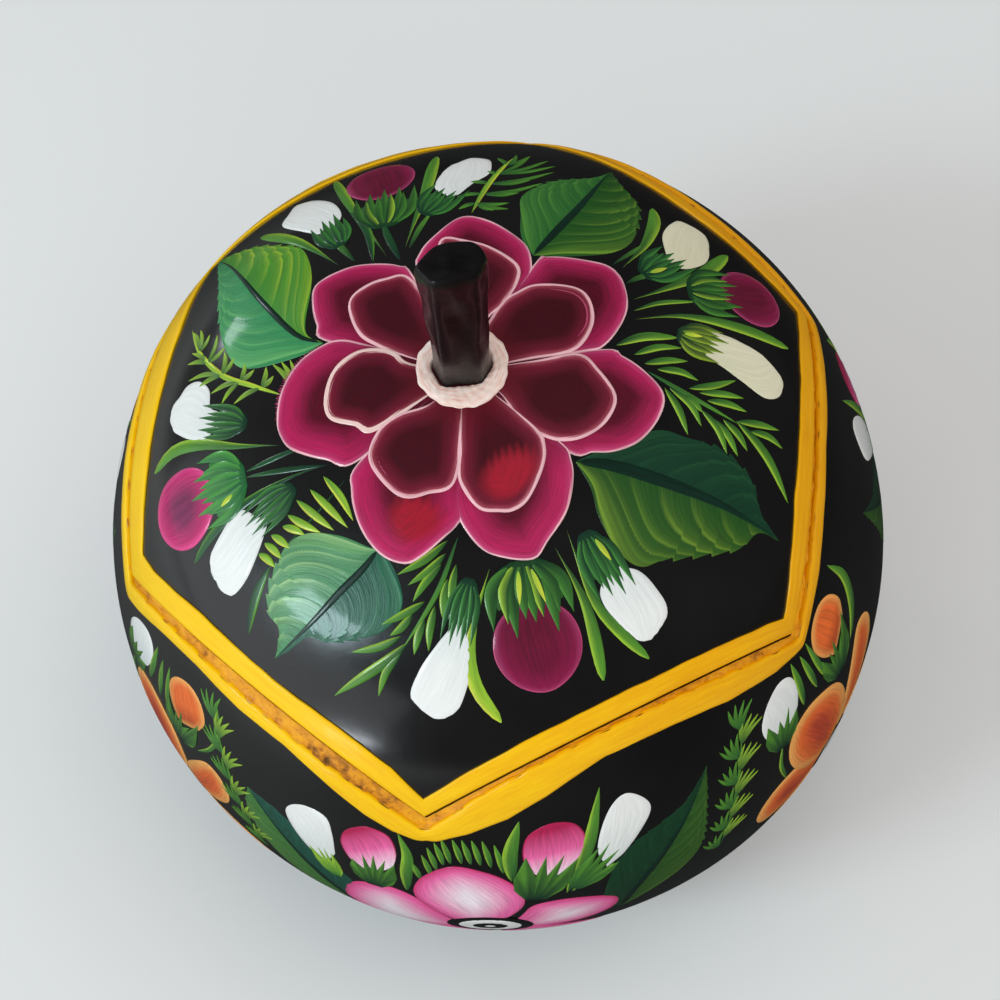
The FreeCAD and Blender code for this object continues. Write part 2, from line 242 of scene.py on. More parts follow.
def ring_faces(rows, columns, closed_rows=False):
    """Four-sided faces of a sheet that closes on itself round its columns."""
    row = np.arange(rows if closed_rows else rows - 1)[:, None]
    column = np.arange(columns)[None, :]
    after, below = (column + 1) % columns, (row + 1) % rows
    return np.stack([row * columns + column, below * columns + column,
                     below * columns + after, row * columns + after], -1).reshape(-1, 4)


def capped(rings, upwards=False):
    """Points and faces of a body from rings on the way down, or upwards, closed with a point in
    the middle of the first ring and one in the middle of the last."""
    columns = len(rings[0])
    points = np.concatenate([*rings, [rings[0].mean(0)], [rings[-1].mean(0)]])
    first_middle, last_middle, last = len(points) - 2, len(points) - 1, (len(rings) - 1) * columns
    faces = ring_faces(len(rings), columns).tolist()
    faces += [[first_middle, c, (c + 1) % columns] for c in range(columns)]
    faces += [[last_middle, last + (c + 1) % columns, last + c] for c in range(columns)]
    return points, [face[::-1] for face in faces] if upwards else faces


def turned_piece(name, finishes, rings, ring_finish):
    """A closed body whose rings each have a finish; its two ends have that of their ring."""
    points, faces = capped(rings)
    finish = np.repeat([*ring_finish[1:], ring_finish[0], ring_finish[-1]], len(rings[0]))
    return make_piece(name, points, faces, finishes, finish)


def hoop_piece(name, points, across, along, finish):
    """A closed strip that goes round the gourd; across and along are lengths for its brush hairs."""
    uv = np.stack(np.broadcast_arrays(across, along), -1).reshape(-1, 2)
    faces = ring_faces(*points.shape[:2], closed_rows=True)
    return make_piece(name, points.reshape(-1, 3), faces.tolist(), [finish], uv=uv)


print("mesh tools ready,", len(ROUND), "columns round the gourd")

# %% [markdown]
# ## Finishes
#
# The black is a thick shiny lacquer over a slightly uneven skin, with fine dust dried into it.
# The flower paint is laid with a loaded brush: its streaks run along the stroke, and the
# colour comes from what the painter picked up on each side of the brush. Streaks and specks
# are needed by many finishes, so each is a small node group that gives only a mask.

# %% Shared effects
def link(tree, source, target):
    """Joins one node's output to another's socket."""
    tree.links.new(source, target)


def node(tree, kind, inputs=None, **settings):
    """A shader node with its settings, and its sockets set or joined."""
    made = tree.nodes.new("ShaderNode" + kind)
    for key, value in settings.items():
        setattr(made, key, value)
    for key, value in (inputs or {}).items():
        if isinstance(value, bpy.types.NodeSocket):
            tree.links.new(value, made.inputs[key])
        else:
            made.inputs[key].default_value = value
    return made


def effect(name, sockets, out):
    """An empty node group with its inputs and its single output."""
    tree = bpy.data.node_groups.new(name, "ShaderNodeTree")
    for label, kind, value in sockets:
        socket = tree.interface.new_socket(label, in_out="INPUT", socket_type="NodeSocket" + kind)
        if value is not None:
            socket.default_value = value
    tree.interface.new_socket(out, in_out="OUTPUT", socket_type="NodeSocketFloat")
    return tree, tree.nodes.new("NodeGroupInput"), tree.nodes.new("NodeGroupOutput")


def calc(tree, operation, *values):
    """One sum on masks or plain numbers."""
    return node(tree, "Math", dict(enumerate(values)), operation=operation).outputs[0]


def average(tree, one, other):
    """Two masks mixed half and half."""
    return calc(tree, "MULTIPLY", calc(tree, "ADD", one, other), 0.5)


def spread(tree, mask, low=0.0, high=1.0, start=0.0, end=1.0):
    """A mask stretched so that its start becomes low and its end becomes high."""
    return node(tree, "MapRange", {0: mask, 1: start, 2: end, 3: low, 4: high}).outputs[0]


def noise(tree, place, scale, detail=2.0, rough=0.5):
    """Cloudy noise, finer with a larger scale."""
    return node(tree, "TexNoise", {"Vector": place, "Scale": scale, "Detail": detail,
                                   "Roughness": rough}).outputs[0]


def brush_streaks():
    """Hair marks of a brush: noise that is fine across the stroke and long along it."""
    tree, given, result = effect("brush streaks", [("Place", "Vector", None), ("Hairs", "Float", 4.0),
                                                   ("Length", "Float", 0.2)], "Streak")
    apart = node(tree, "SeparateXYZ", {0: given.outputs["Place"]})
    across = calc(tree, "MULTIPLY", apart.outputs[0], given.outputs["Hairs"])
    along = calc(tree, "MULTIPLY", apart.outputs[1], given.outputs["Length"])
    place = node(tree, "CombineXYZ", {0: across, 1: along}).outputs[0]
    link(tree, spread(tree, noise(tree, place, 1.0, 3.0, 0.6), start=0.3, end=0.7), result.inputs[0])
    return tree


def fine_specks():
    """Dust and tiny pits: small bright dots where a fine noise peaks."""
    tree, given, result = effect("fine specks", [("Place", "Vector", None), ("Size", "Float", 900.0),
                                                 ("Share", "Float", 0.68)], "Specks")
    share = given.outputs["Share"]
    grains = noise(tree, given.outputs["Place"], given.outputs["Size"], 2.0, 0.7)
    link(tree, spread(tree, grains, start=share, end=calc(tree, "ADD", share, 0.08)), result.inputs[0])
    return tree


BRUSH_STREAKS, FINE_SPECKS = brush_streaks(), fine_specks()


def tint(code):
    """A painter's colour, #rrggbb, as the linear light that the shader works in."""
    parts = np.array([int(code[k:k + 2], 16) for k in (1, 3, 5)]) / 255
    return np.where(parts > 0.04045, ((parts + 0.055) / 1.055) ** 2.4, parts / 12.92)


def opaque(code):
    """The same with a full alpha, as a node's own colour is kept."""
    return (*tint(code), 1.0)


def new_finish(name, **sockets):
    """A material and its nodes, with the sockets that are the same all over set on its shader."""
    material = bpy.data.materials.new(name)
    material.use_nodes = True
    shader = material.node_tree.nodes["Principled BSDF"]
    for label, value in sockets.items():
        shader.inputs[label.replace("_", " ")].default_value = value
    return material, material.node_tree


def dress(material, **sources):
    """Joins what changes over the surface to the shader's sockets, and gives the material back."""
    tree = material.node_tree
    for label, source in sources.items():
        link(tree, source, tree.nodes["Principled BSDF"].inputs[label.replace("_", " ")])
    return material


def solid_place(tree):
    """Where a spot lies in the piece, in metres."""
    return node(tree, "TexCoord").outputs["Object"]


def brush_place(tree):
    """Where a spot lies across and along the brush's hairs, from the piece's own UV map."""
    return node(tree, "UVMap", uv_map="brush").outputs[0]


def ramp(tree, factor, stops):
    """Colours by a factor: stops are (place, #rrggbb)."""
    made = node(tree, "ValToRGB", {0: factor})
    while len(made.color_ramp.elements) < len(stops):
        made.color_ramp.elements.new(0.5)
    for element, (place, code) in zip(made.color_ramp.elements, stops):
        element.position, element.color = place, opaque(code)
    return made.outputs[0]


def bump(tree, height, strength, distance, normal=None):
    """Relief from a mask, over the relief that is there already."""
    made = node(tree, "Bump", {"Height": height, "Strength": strength, "Distance": distance})
    if normal is not None:
        link(tree, normal, made.inputs["Normal"])
    return made.outputs[0]


def group(tree, shared, **sockets):
    """A shared effect placed in a material with its own values."""
    return node(tree, "Group", sockets, node_tree=shared).outputs[0]


print("shared effects:", [tree.name for tree in bpy.data.node_groups])

# %% Lacquer and enamel
def black_lacquer():
    """Near-black lacquer with a warm tone, slow waves, and dust dried into the top coat."""
    material, tree = new_finish("black lacquer", Coat_Weight=0.6, Coat_Roughness=0.14, IOR=1.5)
    place = solid_place(tree)
    cloud = noise(tree, place, 28.0, 4.0)
    specks = group(tree, FINE_SPECKS, Place=place, Size=1500.0, Share=0.66)
    orange_peel = bump(tree, noise(tree, place, 420.0), 0.08, 0.0004)
    return dress(material, Base_Color=ramp(tree, cloud, [(0.3, "#0e0d0d"), (0.7, "#1a1817")]),
                 Roughness=spread(tree, cloud, 0.2, 0.34),
                 Normal=bump(tree, specks, 0.12, 0.0002, orange_peel))


def yellow_enamel():
    """Thick glossy yellow with brush marks along the band and warmer pools between them. It runs from
    golden on the right to lemon on the left: partly the enamel's own tone, partly painted light from the
    windows on the left.
    """
    material, tree = new_finish("yellow enamel", Coat_Weight=0.2, Coat_Roughness=0.1, IOR=1.36)
    place = solid_place(tree)
    streak = group(tree, BRUSH_STREAKS, Place=brush_place(tree), Hairs=1.1, Length=0.09)
    cloud = noise(tree, place, 55.0, 3.0)
    side = node(tree, "SeparateXYZ", {0: place}).outputs[0]
    # lemon towards the left, golden towards the right: partly the enamel's own tone, partly painted light
    # from the left windows
    left_light = spread(tree, side, start=0.075, end=-0.07)
    mottled = calc(tree, "MULTIPLY", calc(tree, "ADD", streak, cloud), 0.25)
    pooled_and_lit = calc(tree, "MULTIPLY_ADD", left_light, 0.5, mottled)
    brushed = bump(tree, streak, 0.15, 0.0004)
    return dress(material, Base_Color=ramp(tree, pooled_and_lit, [(0.1, "#e49800"), (0.4, "#f4ae00"),
                                                          (0.62, "#fcc400"), (0.9, "#ffd200")]),
                 Roughness=spread(tree, cloud, 0.22, 0.36),
                 Normal=bump(tree, noise(tree, place, 260.0, 3.0), 0.18, 0.0005, brushed))


print("glossy finishes defined: lacquer and enamel")

# %% Channel, cut wall and inside
WORN_PLACE = (-0.036, -0.057, 0.125)      # metres: where the channel's paint is worn through
WORN_REACH, WORN_CORE = 0.022, 0.004
SCRAPE_STRETCH = (90.0, 90.0, 420.0)      # scrape marks run round the gourd, so they are fine in z


def channel_paint():
    """The carved channel: rough pith that drank the enamel, golden on its lumps and brown in
    its pits, most of all in one worn stretch at the left front."""
    material, tree = new_finish("channel paint", Coat_Weight=0.15, Coat_Roughness=0.3)
    place = solid_place(tree)
    lumps = average(tree, noise(tree, place, 620.0, 5.0, 0.65), noise(tree, place, 130.0, 3.0))
    gap = node(tree, "VectorMath", {0: place, 1: WORN_PLACE}, operation="DISTANCE").outputs["Value"]
    worn = spread(tree, gap, 0.0, 0.09, start=WORN_REACH, end=WORN_CORE)
    left = calc(tree, "SUBTRACT", lumps, worn)
    return dress(material, Base_Color=ramp(tree, left, [(0.31, "#603a04"), (0.39, "#c47a02"),
                                                        (0.46, "#ee9c00"), (0.57, "#ffb400")]),
                 Roughness=spread(tree, lumps, 0.75, 0.35), Normal=bump(tree, lumps, 0.9, 0.0014))


def cut_pith():
    """The knife-cut wall: pale dry pith with enamel that ran over it and long fibres."""
    material, tree = new_finish("cut pith")
    fibres = noise(tree, solid_place(tree), 300.0, 5.0)
    return dress(material, Base_Color=ramp(tree, fibres, [(0.3, "#8a5a24"), (0.5, "#c08a3c"),
                                                          (0.7, "#d9a850")]),
                 Roughness=spread(tree, fibres, 0.6, 0.9), Normal=bump(tree, fibres, 0.6, 0.0008))


def scraped_inside():
    """The bare inside, scraped with a spoon: tan, blotched brown, with scrape marks."""
    material, tree = new_finish("scraped inside")
    place = solid_place(tree)
    stretched = node(tree, "Mapping", {"Vector": place, "Scale": SCRAPE_STRETCH}).outputs[0]
    scrapes = noise(tree, stretched, 1.0, 4.0)
    both = average(tree, noise(tree, place, 40.0, 6.0), scrapes)
    return dress(material, Base_Color=ramp(tree, both, [(0.36, "#6b4420"), (0.5, "#a87640"),
                                                        (0.64, "#c99c63")]),
                 Roughness=spread(tree, scrapes, 0.65, 0.95), Normal=bump(tree, both, 0.5, 0.0008))


GOURD_FINISHES = [black_lacquer(), channel_paint(), cut_pith(), scraped_inside()]
LACQUERED, CHANNELLED, CUT, SCRAPED = range(4)
ENAMEL = yellow_enamel()
print("gourd finishes:", [material.name for material in (*GOURD_FINISHES, ENAMEL)])

# %% [markdown]
# ## The bowl and the lid
#
# The bowl's rim isn't a plain edge. Outside the cut a channel was gouged, a millimetre or two
# wide in most places and three along the left front side. Its bed is rough. Then the cut wall
# slopes in under the lid. The lid is the same skin on the other side of the cut.

# %% Bowl and lid
def round_table(places):
    """Widths that a maker set at some azimuths in degrees, joined smoothly all the way round."""
    where, values = np.radians([p[0] for p in places]), np.array([p[1] for p in places], float)
    return lambda azimuth: np.interp(azimuth, where, values, period=2 * np.pi)


CHANNEL_WIDTHS = round_table([(-83, 1.5), (-66, 1.9), (-50, 2.7), (-34, 3.1), (-22, 2.6), (-10, 1.2),
                              (8, 0.9), (25, 1.3), (38, 1.8), (46, 1.5), (60, 1.0), (80, 0.9),
                              (105, 1.0), (130, 1.5), (160, 1.8), (200, 1.6), (240, 1.5)])
CLEARANCE = 0.3
CHANNEL_BED = 1.0
CHATTER = ((1, 1, 2.1, 0), (0.7, 1.7, -3.3, 0), (0.5, 3.1, 5.7, 0))
SCAR_SHARE, SCAR_DEPTH = 0.26, 1.6        # of the foot's radius, and in mm
EDGE_ROUNDING = 0.3


def ripple(azimuth, across, fineness):
    """Knife chatter for edges and beds: a few waves that never line up, about 1 high in all."""
    return waves(CHATTER, fineness * azimuth, across) / 2.2


def onward(start, end, count):
    """Even shares without the first, where the stretch before has its last ring."""
    return np.linspace(start, end, count)[1:]


def ring_stack(*stretches):
    """The rings, and their finishes, of stretches (finish, shares, the ring at a share)."""
    return list(zip(*((ring(share), finish) for finish, shares, ring in stretches for share in shares)))


def bowl_rings():
    """Rings of the bowl from the middle of its foot, over the rim, to the middle of the floor."""
    width = CHANNEL_WIDTHS(ROUND) + 0.12 * ripple(ROUND, 0.0, 61)
    rim, lip = walk_down(ROUND, width), walk_down(ROUND, 0.0, -WALL)

    def scar(share):
        down = FOOT_EDGE + FOOT_RADIUS * (1 - SCAR_SHARE * share)
        return skin(ROUND, down, -SCAR_DEPTH * (1 - share ** 2))

    def foot(share):
        return skin(ROUND, FOOT_EDGE + FOOT_RADIUS * (1 - SCAR_SHARE) * (1 - share))

    def side(share):
        return skin(ROUND, FOOT_EDGE + (rim - FOOT_EDGE) * share)

    def channel(share):
        depth = CHANNEL_BED * np.sin(np.pi / 2 * share ** 0.7) * (1 + 0.22 * ripple(ROUND, share * 4, 97))
        return skin(ROUND, walk_down(ROUND, width * (1 - share), -depth), -depth)

    def cut_wall(share):
        depth = CHANNEL_BED + (WALL - CHANNEL_BED) * share
        return skin(ROUND, walk_down(ROUND, 0.0, -depth), -depth)

    def inside(share):
        return skin(ROUND, lip + (FOOT_EDGE - lip) * share, -WALL)

    def floor(share):
        return skin(ROUND, FOOT_EDGE + FOOT_RADIUS * share, -WALL)

    return ring_stack((LACQUERED, np.linspace(0.02, 1, 8), scar), (LACQUERED, onward(0, 1, 8), foot),
                      (LACQUERED, onward(0, 1, 110), side), (CHANNELLED, onward(0, 1, 9), channel),
                      (CUT, onward(0, 1, 7), cut_wall), (SCRAPED, onward(0, 1, 60), inside),
                      (SCRAPED, onward(0, 0.98, 7), floor))


def lid_rings():
    """Rings of the lid from the middle of the crown, round the cut edge, to the middle inside."""
    edge, lip = walk_down(ROUND, -CLEARANCE), walk_down(ROUND, -CLEARANCE, -WALL)

    def crown(share):
        return skin(ROUND, (edge - 0.25) * share)

    def worn_edge(turn):
        depth = EDGE_ROUNDING * turn
        return skin(ROUND, walk_down(ROUND, -CLEARANCE, -depth) - 0.1 * (1 - turn), -depth)

    def cut_wall(share):
        return skin(ROUND, walk_down(ROUND, -CLEARANCE, -WALL * share), -WALL * share)

    def inside(share):
        return skin(ROUND, lip * share, -WALL)

    return ring_stack((LACQUERED, np.linspace(0.01, 1, 90), crown), (LACQUERED, (0.35, 0.7), worn_edge),
                      (CUT, onward(0, 1, 8), cut_wall), (SCRAPED, onward(1, 0.01, 40), inside))


bowl = turned_piece("bowl_gourd", GOURD_FINISHES, *bowl_rings())
lid = turned_piece("lid_gourd", GOURD_FINISHES, *lid_rings())
for piece, body, nodes in ((bowl, "bowl", "bowl_shell"), (lid, "lid", "lid_shell")):
    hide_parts(nodes)
    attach(piece, body)
print("bowl", len(bowl.data.polygons), "faces, lid", len(lid.data.polygons), "faces")

# %% [markdown]
# ## The enamel along the cut
#
# Yellow enamel was laid with a full brush on both sides of the cut. On the lid it ends in a
# crisp edge. On the bowl it rolls softly down into the channel and swings wide round corners.

# %% Enamel bands
LID_BAND = round_table([(-145, 6.0), (-131, 7.0), (-122, 7.9), (-110, 7.4), (-99, 6.7), (-90, 6.3),
                        (-84, 5.8), (-78, 4.5), (-65, 4.7), (-47, 3.9), (-35, 4.4), (-24, 4.5), (-19, 3.0),
                        (-12, 3.6), (0, 3.8), (27, 3.7), (42, 3.5), (46, 3.0), (52, 3.6), (63, 4.1),
                        (76, 3.8), (90, 3.6), (101, 3.0), (128, 3.9), (144, 3.4), (161, 3.2), (190, 4.2)])
BOWL_BAND = round_table([(-83, 4.4), (-77, 4.6), (-68, 4.0), (-61, 4.1), (-51, 5.3), (-42, 5.1), (-33, 6.4),
                         (-28, 6.8), (-24, 6.2), (-19, 4.4), (-13, 6.2), (-7, 7.0), (-1, 6.5), (9, 4.9),
                         (21, 5.3), (30, 5.8), (39, 4.9), (44, 3.3), (55, 3.7), (64, 3.3), (74, 2.9),
                         (82, 3.3), (100, 3.0), (130, 3.8), (161, 3.2), (190, 4.2), (222, 3.8), (250, 4.6)])


def band_piece(name, section, body, nodes):
    """A strip all the way round the cut: section gives (distance from the cut, rise) rings."""
    points = np.stack([skin(ROUND, walk_down(ROUND, distance, rise), rise) for distance, rise in section])
    step = np.linalg.norm(np.diff(points[0], axis=0, append=points[0][:1]), axis=1)
    along = np.cumsum(step) - step
    across = np.cumsum(np.linalg.norm(np.diff(points, axis=0, prepend=points[:1]), axis=2), axis=0)
    piece = hoop_piece(name, points, across, along, ENAMEL)
    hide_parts(nodes)
    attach(piece, body)
    return piece


def lid_section():
    """From the crisp inner edge over a flat crown of paint, round the cut edge and back under."""
    width = LID_BAND(ROUND) + 0.1 * ripple(ROUND, 1.0, 23)
    edge = CLEARANCE - 0.02
    thick = 0.42 + 0.08 * ripple(ROUND, 2.0, 13)
    section = [(-width + 0.05, -0.25), (-width, 0.02), (-width + 0.14, 0.7 * thick)]
    section += [(-width + 0.45 + (width - edge - 0.95) * share,
                 thick * (1 + 0.06 * ripple(ROUND, share * 5, 31))) for share in np.linspace(0, 1, 6)]
    section += [(-edge - 0.2, 0.75 * thick), (-edge, 0.3 * thick), (-edge, -0.5),
                (-edge, -1.3 + 0.25 * ripple(ROUND, 3.0, 41)), (-edge - 0.45, -1.45), (-edge - 0.8, -0.4)]
    return section


def bowl_section():
    """From down in the channel, up over a rounded crown of paint, to the outer edge."""
    start = CHANNEL_WIDTHS(ROUND) - 0.55 + 0.18 * ripple(ROUND, 0.5, 71)
    width = BOWL_BAND(ROUND) + 0.07 * ripple(ROUND, 1.5, 19)
    thick = 0.45 + 0.06 * ripple(ROUND, 2.5, 17)
    section = [(start + 0.3, -1.1), (start, -0.85), (start + 0.25, -0.35), (start + 0.6, 0.12)]
    section += [(start + 0.95 + (width - start - 1.4) * share,
                 thick * (0.75 + 0.3 * np.sin(np.pi * share)) * (1 + 0.06 * ripple(ROUND, share * 5, 37)))
                for share in np.linspace(0, 1, 7)]
    section += [(width - 0.16, 0.6 * thick), (width, 0.02), (width - 0.1, -0.25), (start + 1.2, -0.5)]
    return section


lid_band = band_piece("lid_enamel", lid_section(), "lid", "lid_rim_band")
bowl_band = band_piece("bowl_enamel", bowl_section(), "bowl", "bowl_rim_band")
print("bands", len(lid_band.data.polygons), len(bowl_band.data.polygons), "faces")

# %% [markdown]
# ## The stalk and its ring
#
# The stalk is the gourd's own: a rough six-sided column with worn corners and slow lumps. It
# leans a little, widens to its head, is cut off aslant and drowned in the same black lacquer.
# Round its foot the painter turned a brush of cream with pink on one side, a few turns thick.

# %% Stalk and ring
CROWN_TOP = FOOT_DEPTH + CROWN_HEIGHT
STALK_FOOT = CROWN_TOP - 1.5
STALK_REACH = 34.2
STALK_BACK = 1.1               # the stalk grew a little behind the middle
STALK_FACETS = [(-8, 3.8), (48, 4.65), (103, 5.0), (163, 4.7), (222, 4.75), (286, 4.95)]
STALK_GIRTH = [(0, 1), (0.06, 1), (0.14, 0.97), (0.4, 1.0), (0.7, 1.04), (0.86, 1.15), (0.94, 1.2),
               (1, 1.16)]      # share of its length, and girth there
STALK_HEAD = [(0.985, 0.985, 0), (1.0, 0.94, 0), (1.0, 0.88, -0.08), (1.0, 0.7, -0.12), (1.0, 0.5, 0.0),
              (1.0, 0.3, 0.05), (1.0, 0.12, 0.0)]      # share of its length, of its girth, and dip
STALK_LUMPS = ((0.14, 2, 8, 0), (0.08, 3, -13, 1), (0.04, 5, 17, 0))
HEAD_LUMPS = ((0.16, 1.1, 0, 2), (0.13, 1, 1.4, 0))
STALK_TWIST = 9                # degrees, from its foot to its head
CUT_TILT = math.tan(math.radians(26))
LEAN_RIGHT, LEAN_BACK = 1.7, 1.3


def stalk_lacquer():
    """The lid's lacquer, thicker here, over bark-like bumps."""
    material, tree = new_finish("stalk lacquer", Coat_Weight=0.15, Coat_Roughness=0.12, IOR=1.36)
    cloud = noise(tree, solid_place(tree), 120.0, 4.0)
    return dress(material, Base_Color=ramp(tree, cloud, [(0.35, "#0c0a0a"), (0.7, "#1a1615")]),
                 Roughness=spread(tree, cloud, 0.24, 0.42), Normal=bump(tree, cloud, 0.3, 0.0009))


def six_sided(around, turn=0.0, crisp=12):
    """Reach of the stalk's section: each facet stands at its own distance d from the middle, and
    the reach is (sum of (cos(turn from facet) / d)^crisp)^(-1/crisp), which rounds the corners."""
    return sum((np.cos(around - math.radians(azimuth + turn)).clip(0) / distance) ** crisp
               for azimuth, distance in STALK_FACETS) ** (-1 / crisp)


def stalk_ring_at(around, share, grow=1.0, dip=0.0):
    """The section at a share of the stalk's length: reach times girth plus lumps, moved along the
    leaning line, and tipped more and more towards the slanting cut."""
    girth = np.interp(share, *np.transpose(STALK_GIRTH)) * grow
    reach = six_sided(around, STALK_TWIST * share, 12 - 4 * share) * girth
    lumps = waves(STALK_LUMPS, around, share) * np.clip(share * 6, 0, 1)
    knobs = 0.15 * np.exp(-((share - 0.84) / 0.07) ** 2) * np.sin(4 * around + 1.2)
    reach = reach + (lumps + knobs) * min(grow, 1)
    x, y = reach * np.sin(around), -reach * np.cos(around)
    tip = CUT_TILT * np.clip((share - 0.35) / 0.65, 0, 1) ** 1.5
    face = waves(HEAD_LUMPS, x, y) * np.clip(1 - grow, 0, 0.3) * 4
    return np.stack([x + LEAN_RIGHT * share, y + STALK_BACK + LEAN_BACK * share ** 1.5,
                     STALK_FOOT + STALK_REACH * share - dip - tip * y + face], -1)


def stalk_piece():
    """Rings up the stalk, then in over its cut head."""
    around = np.linspace(0, 2 * np.pi, 120, endpoint=False)
    rings = [stalk_ring_at(around, share) for share in np.linspace(0, 0.965, 56)]
    rings += [stalk_ring_at(around, *row) for row in STALK_HEAD]
    piece = make_piece("stalk", *capped(rings, upwards=True), [stalk_lacquer()])
    softer = piece.modifiers.new("softer", "SUBSURF")
    softer.levels = softer.render_levels = 1
    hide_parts("stem")
    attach(piece, "lid")
    return piece


def lid_plan(x, y):
    """The lid seen flat from above: x to the right, y to the back, true lengths from the stalk."""
    return np.arctan2(x, -y), np.hypot(x, y)


RING_REACH = 8.35
RING_EDGE = ((0.16, 3, 0, 1), (0.12, 8, 0, 0), (0.08, 17, 0, 0))
RING_LUMPS = ((0.13, 11, 2.3, 0), (0.1, 23, -1.7, 0))
RING_SECTION = [(0.0, -0.3), (0.0, 0.3), (0.06, 0.75), (0.2, 0.92), (0.4, 0.8), (0.6, 0.86), (0.8, 0.7),
                (0.93, 0.4), (1.0, 0.05), (0.98, -0.3)]        # share outwards, and rise
RING_HAIRS = 7                 # mm of brush across the ring


def ring_paint():
    """Cream and pink that went round on one brush, in turns that didn't quite mix."""
    material, tree = new_finish("ring paint", Coat_Weight=0.3, Coat_Roughness=0.15)
    streak = group(tree, BRUSH_STREAKS, Place=brush_place(tree), Hairs=0.9, Length=0.2)
    return dress(material, Base_Color=ramp(tree, streak, [(0.02, "#eab4a6"), (0.3, "#f6cfc0"),
                                                          (0.6, "#fbe0d3"), (0.9, "#fcece2")]),
                 Roughness=spread(tree, streak, 0.3, 0.5), Normal=bump(tree, streak, 0.2, 0.0004))


def ring_piece():
    """A lumpy ring of paint: its section goes over the crown between two wobbling edges."""
    around = np.linspace(0, 2 * np.pi, 160, endpoint=False)
    inner, outer = six_sided(around, 0.5) + 0.12, RING_REACH + waves(RING_EDGE, around)
    rows = []
    for k, (share, rise) in enumerate(RING_SECTION):
        reach = inner + (outer - inner) * share
        azimuth, down = lid_plan(reach * np.sin(around), STALK_BACK - reach * np.cos(around))
        rows.append(skin(azimuth, down, rise * (1 + waves(RING_LUMPS, around, k) if rise > 0 else 1)))
    across = RING_HAIRS * np.array(RING_SECTION)[:, :1]
    piece = hoop_piece("stalk_ring", np.stack(rows), across, RING_HAIRS * around, ring_paint())
    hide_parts("stem_collar")
    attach(piece, "lid")
    return piece


stalk, stalk_ring = stalk_piece(), ring_piece()
print("stalk", len(stalk.data.polygons), "faces, ring", len(stalk_ring.data.polygons), "faces")

# %% [markdown]
# ## How a brush stroke is laid
#
# The painter works on the curved skin, but thinks flat: the lid is a disc seen from above, and
# each side of the bowl is a panel. A stroke lies between two edges that start together or apart
# and meet at its tip. It stands a hair over the lacquer, its rim tucked under, and it carries
# its own colours, its distance from its rim, and how its hairs ran.

# %% Brush strokes
def bowl_plan(middle):
    """A panel of the bowl seen flat, at an azimuth in degrees: x across, y down the skin."""
    def place(x, y):
        return math.radians(middle) + x / outline(y)[0], y
    return place


def soft_line(points, count):
    """`count` even places along a Catmull-Rom line through given points."""
    p = np.asarray(points, float)
    if len(p) == 2:
        return p[0] + np.linspace(0, 1, count)[:, None] * (p[1] - p[0])
    p = np.concatenate([[2 * p[0] - p[1]], p, [2 * p[-1] - p[-2]]])
    t = np.linspace(0, 1, 14)[:, None, None]
    a, b, c, d = p[:-3], p[1:-2], p[2:-1], p[3:]
    fine = 0.5 * (2 * b + (c - a) * t + (2 * a - 5 * b + 4 * c - d) * t ** 2
                  + (3 * b - a - 3 * c + d) * t ** 3)
    fine = np.concatenate([fine[:-1].transpose(1, 0, 2).reshape(-1, 2), fine[-1, -1:]])
    walked = np.concatenate([[0], np.cumsum(np.hypot(*np.diff(fine, axis=0).T))])
    even = np.linspace(0, walked[-1], count)
    return np.stack([np.interp(even, walked, fine[:, 0]), np.interp(even, walked, fine[:, 1])], 1)


def form_edges(edge, rows=22):
    """The two edges of a form whose outline runs from its foot round its tip and back."""
    line = soft_line(edge, 2 * rows + 1)
    return line[:rows + 1], line[:rows - 1:-1]


def blade_edges(spine, width, rows=12, fullest=0.45, blunt=0.75):
    """The two edges of a stroke: half width = width/2 * (s/f)^a * ((1-s)/(1-f))^b along the
    share s, full at f, where a small a makes a blunt foot and b = a(1-f)/f keeps f the peak."""
    middle = soft_line(spine, rows + 1)
    share = np.linspace(0, 1, rows + 1)
    sharp = blunt * (1 - fullest) / fullest
    half = width / 2 * (share / fullest) ** blunt * ((1 - share) / (1 - fullest)) ** sharp
    way = np.gradient(middle, axis=0)
    side = np.stack([-way[:, 1], way[:, 0]], 1) / np.hypot(*way.T)[:, None]
    return middle + side * half[:, None], middle - side * half[:, None]


def to_rim(spots, edge):
    """How far each spot is from the nearest stretch of a closed line, and where along it."""
    way = np.roll(edge, -1, axis=0) - edge
    share, gap = off_stretch(spots[..., None, :] - edge, way)
    nearest = gap.argmin(-1)[..., None]
    length = np.hypot(*way.T)
    place = (np.cumsum(length) - length)[nearest] + np.take_along_axis(share * length, nearest, -1)
    return np.take_along_axis(gap, nearest, -1)[..., 0], place[..., 0]


def blend(one, other, share):
    """One colour, turning to the other as the share goes from 0 to 1."""
    share = np.clip(share, 0, 1)[..., None]
    return one * (1 - share) + other * share


def stroke_faces(rows, columns):
    """Four-sided faces over an open sheet, then one under each row that closes it below."""
    row, column, stride = np.arange(rows - 1)[:, None], np.arange(columns)[None, :], columns + 1
    first, start = row * stride + column, row * stride
    over = np.stack([first, first + 1, first + stride + 1, first + stride], -1)
    under = np.stack([start, start + stride, start + stride + columns, start + columns], -1)
    return np.concatenate([over.reshape(-1, 4), under.reshape(-1, 4)])


print("a stroke's edges can be drawn")

# %% Laying and drying paint
TUCK, SUNK, DEEPEST = 0.12, 0.08, -0.05       # a stroke's rim goes under the skin's own level
FULL_PAINT = 0.5               # mm from the rim, where the paint has two thirds of its thickness


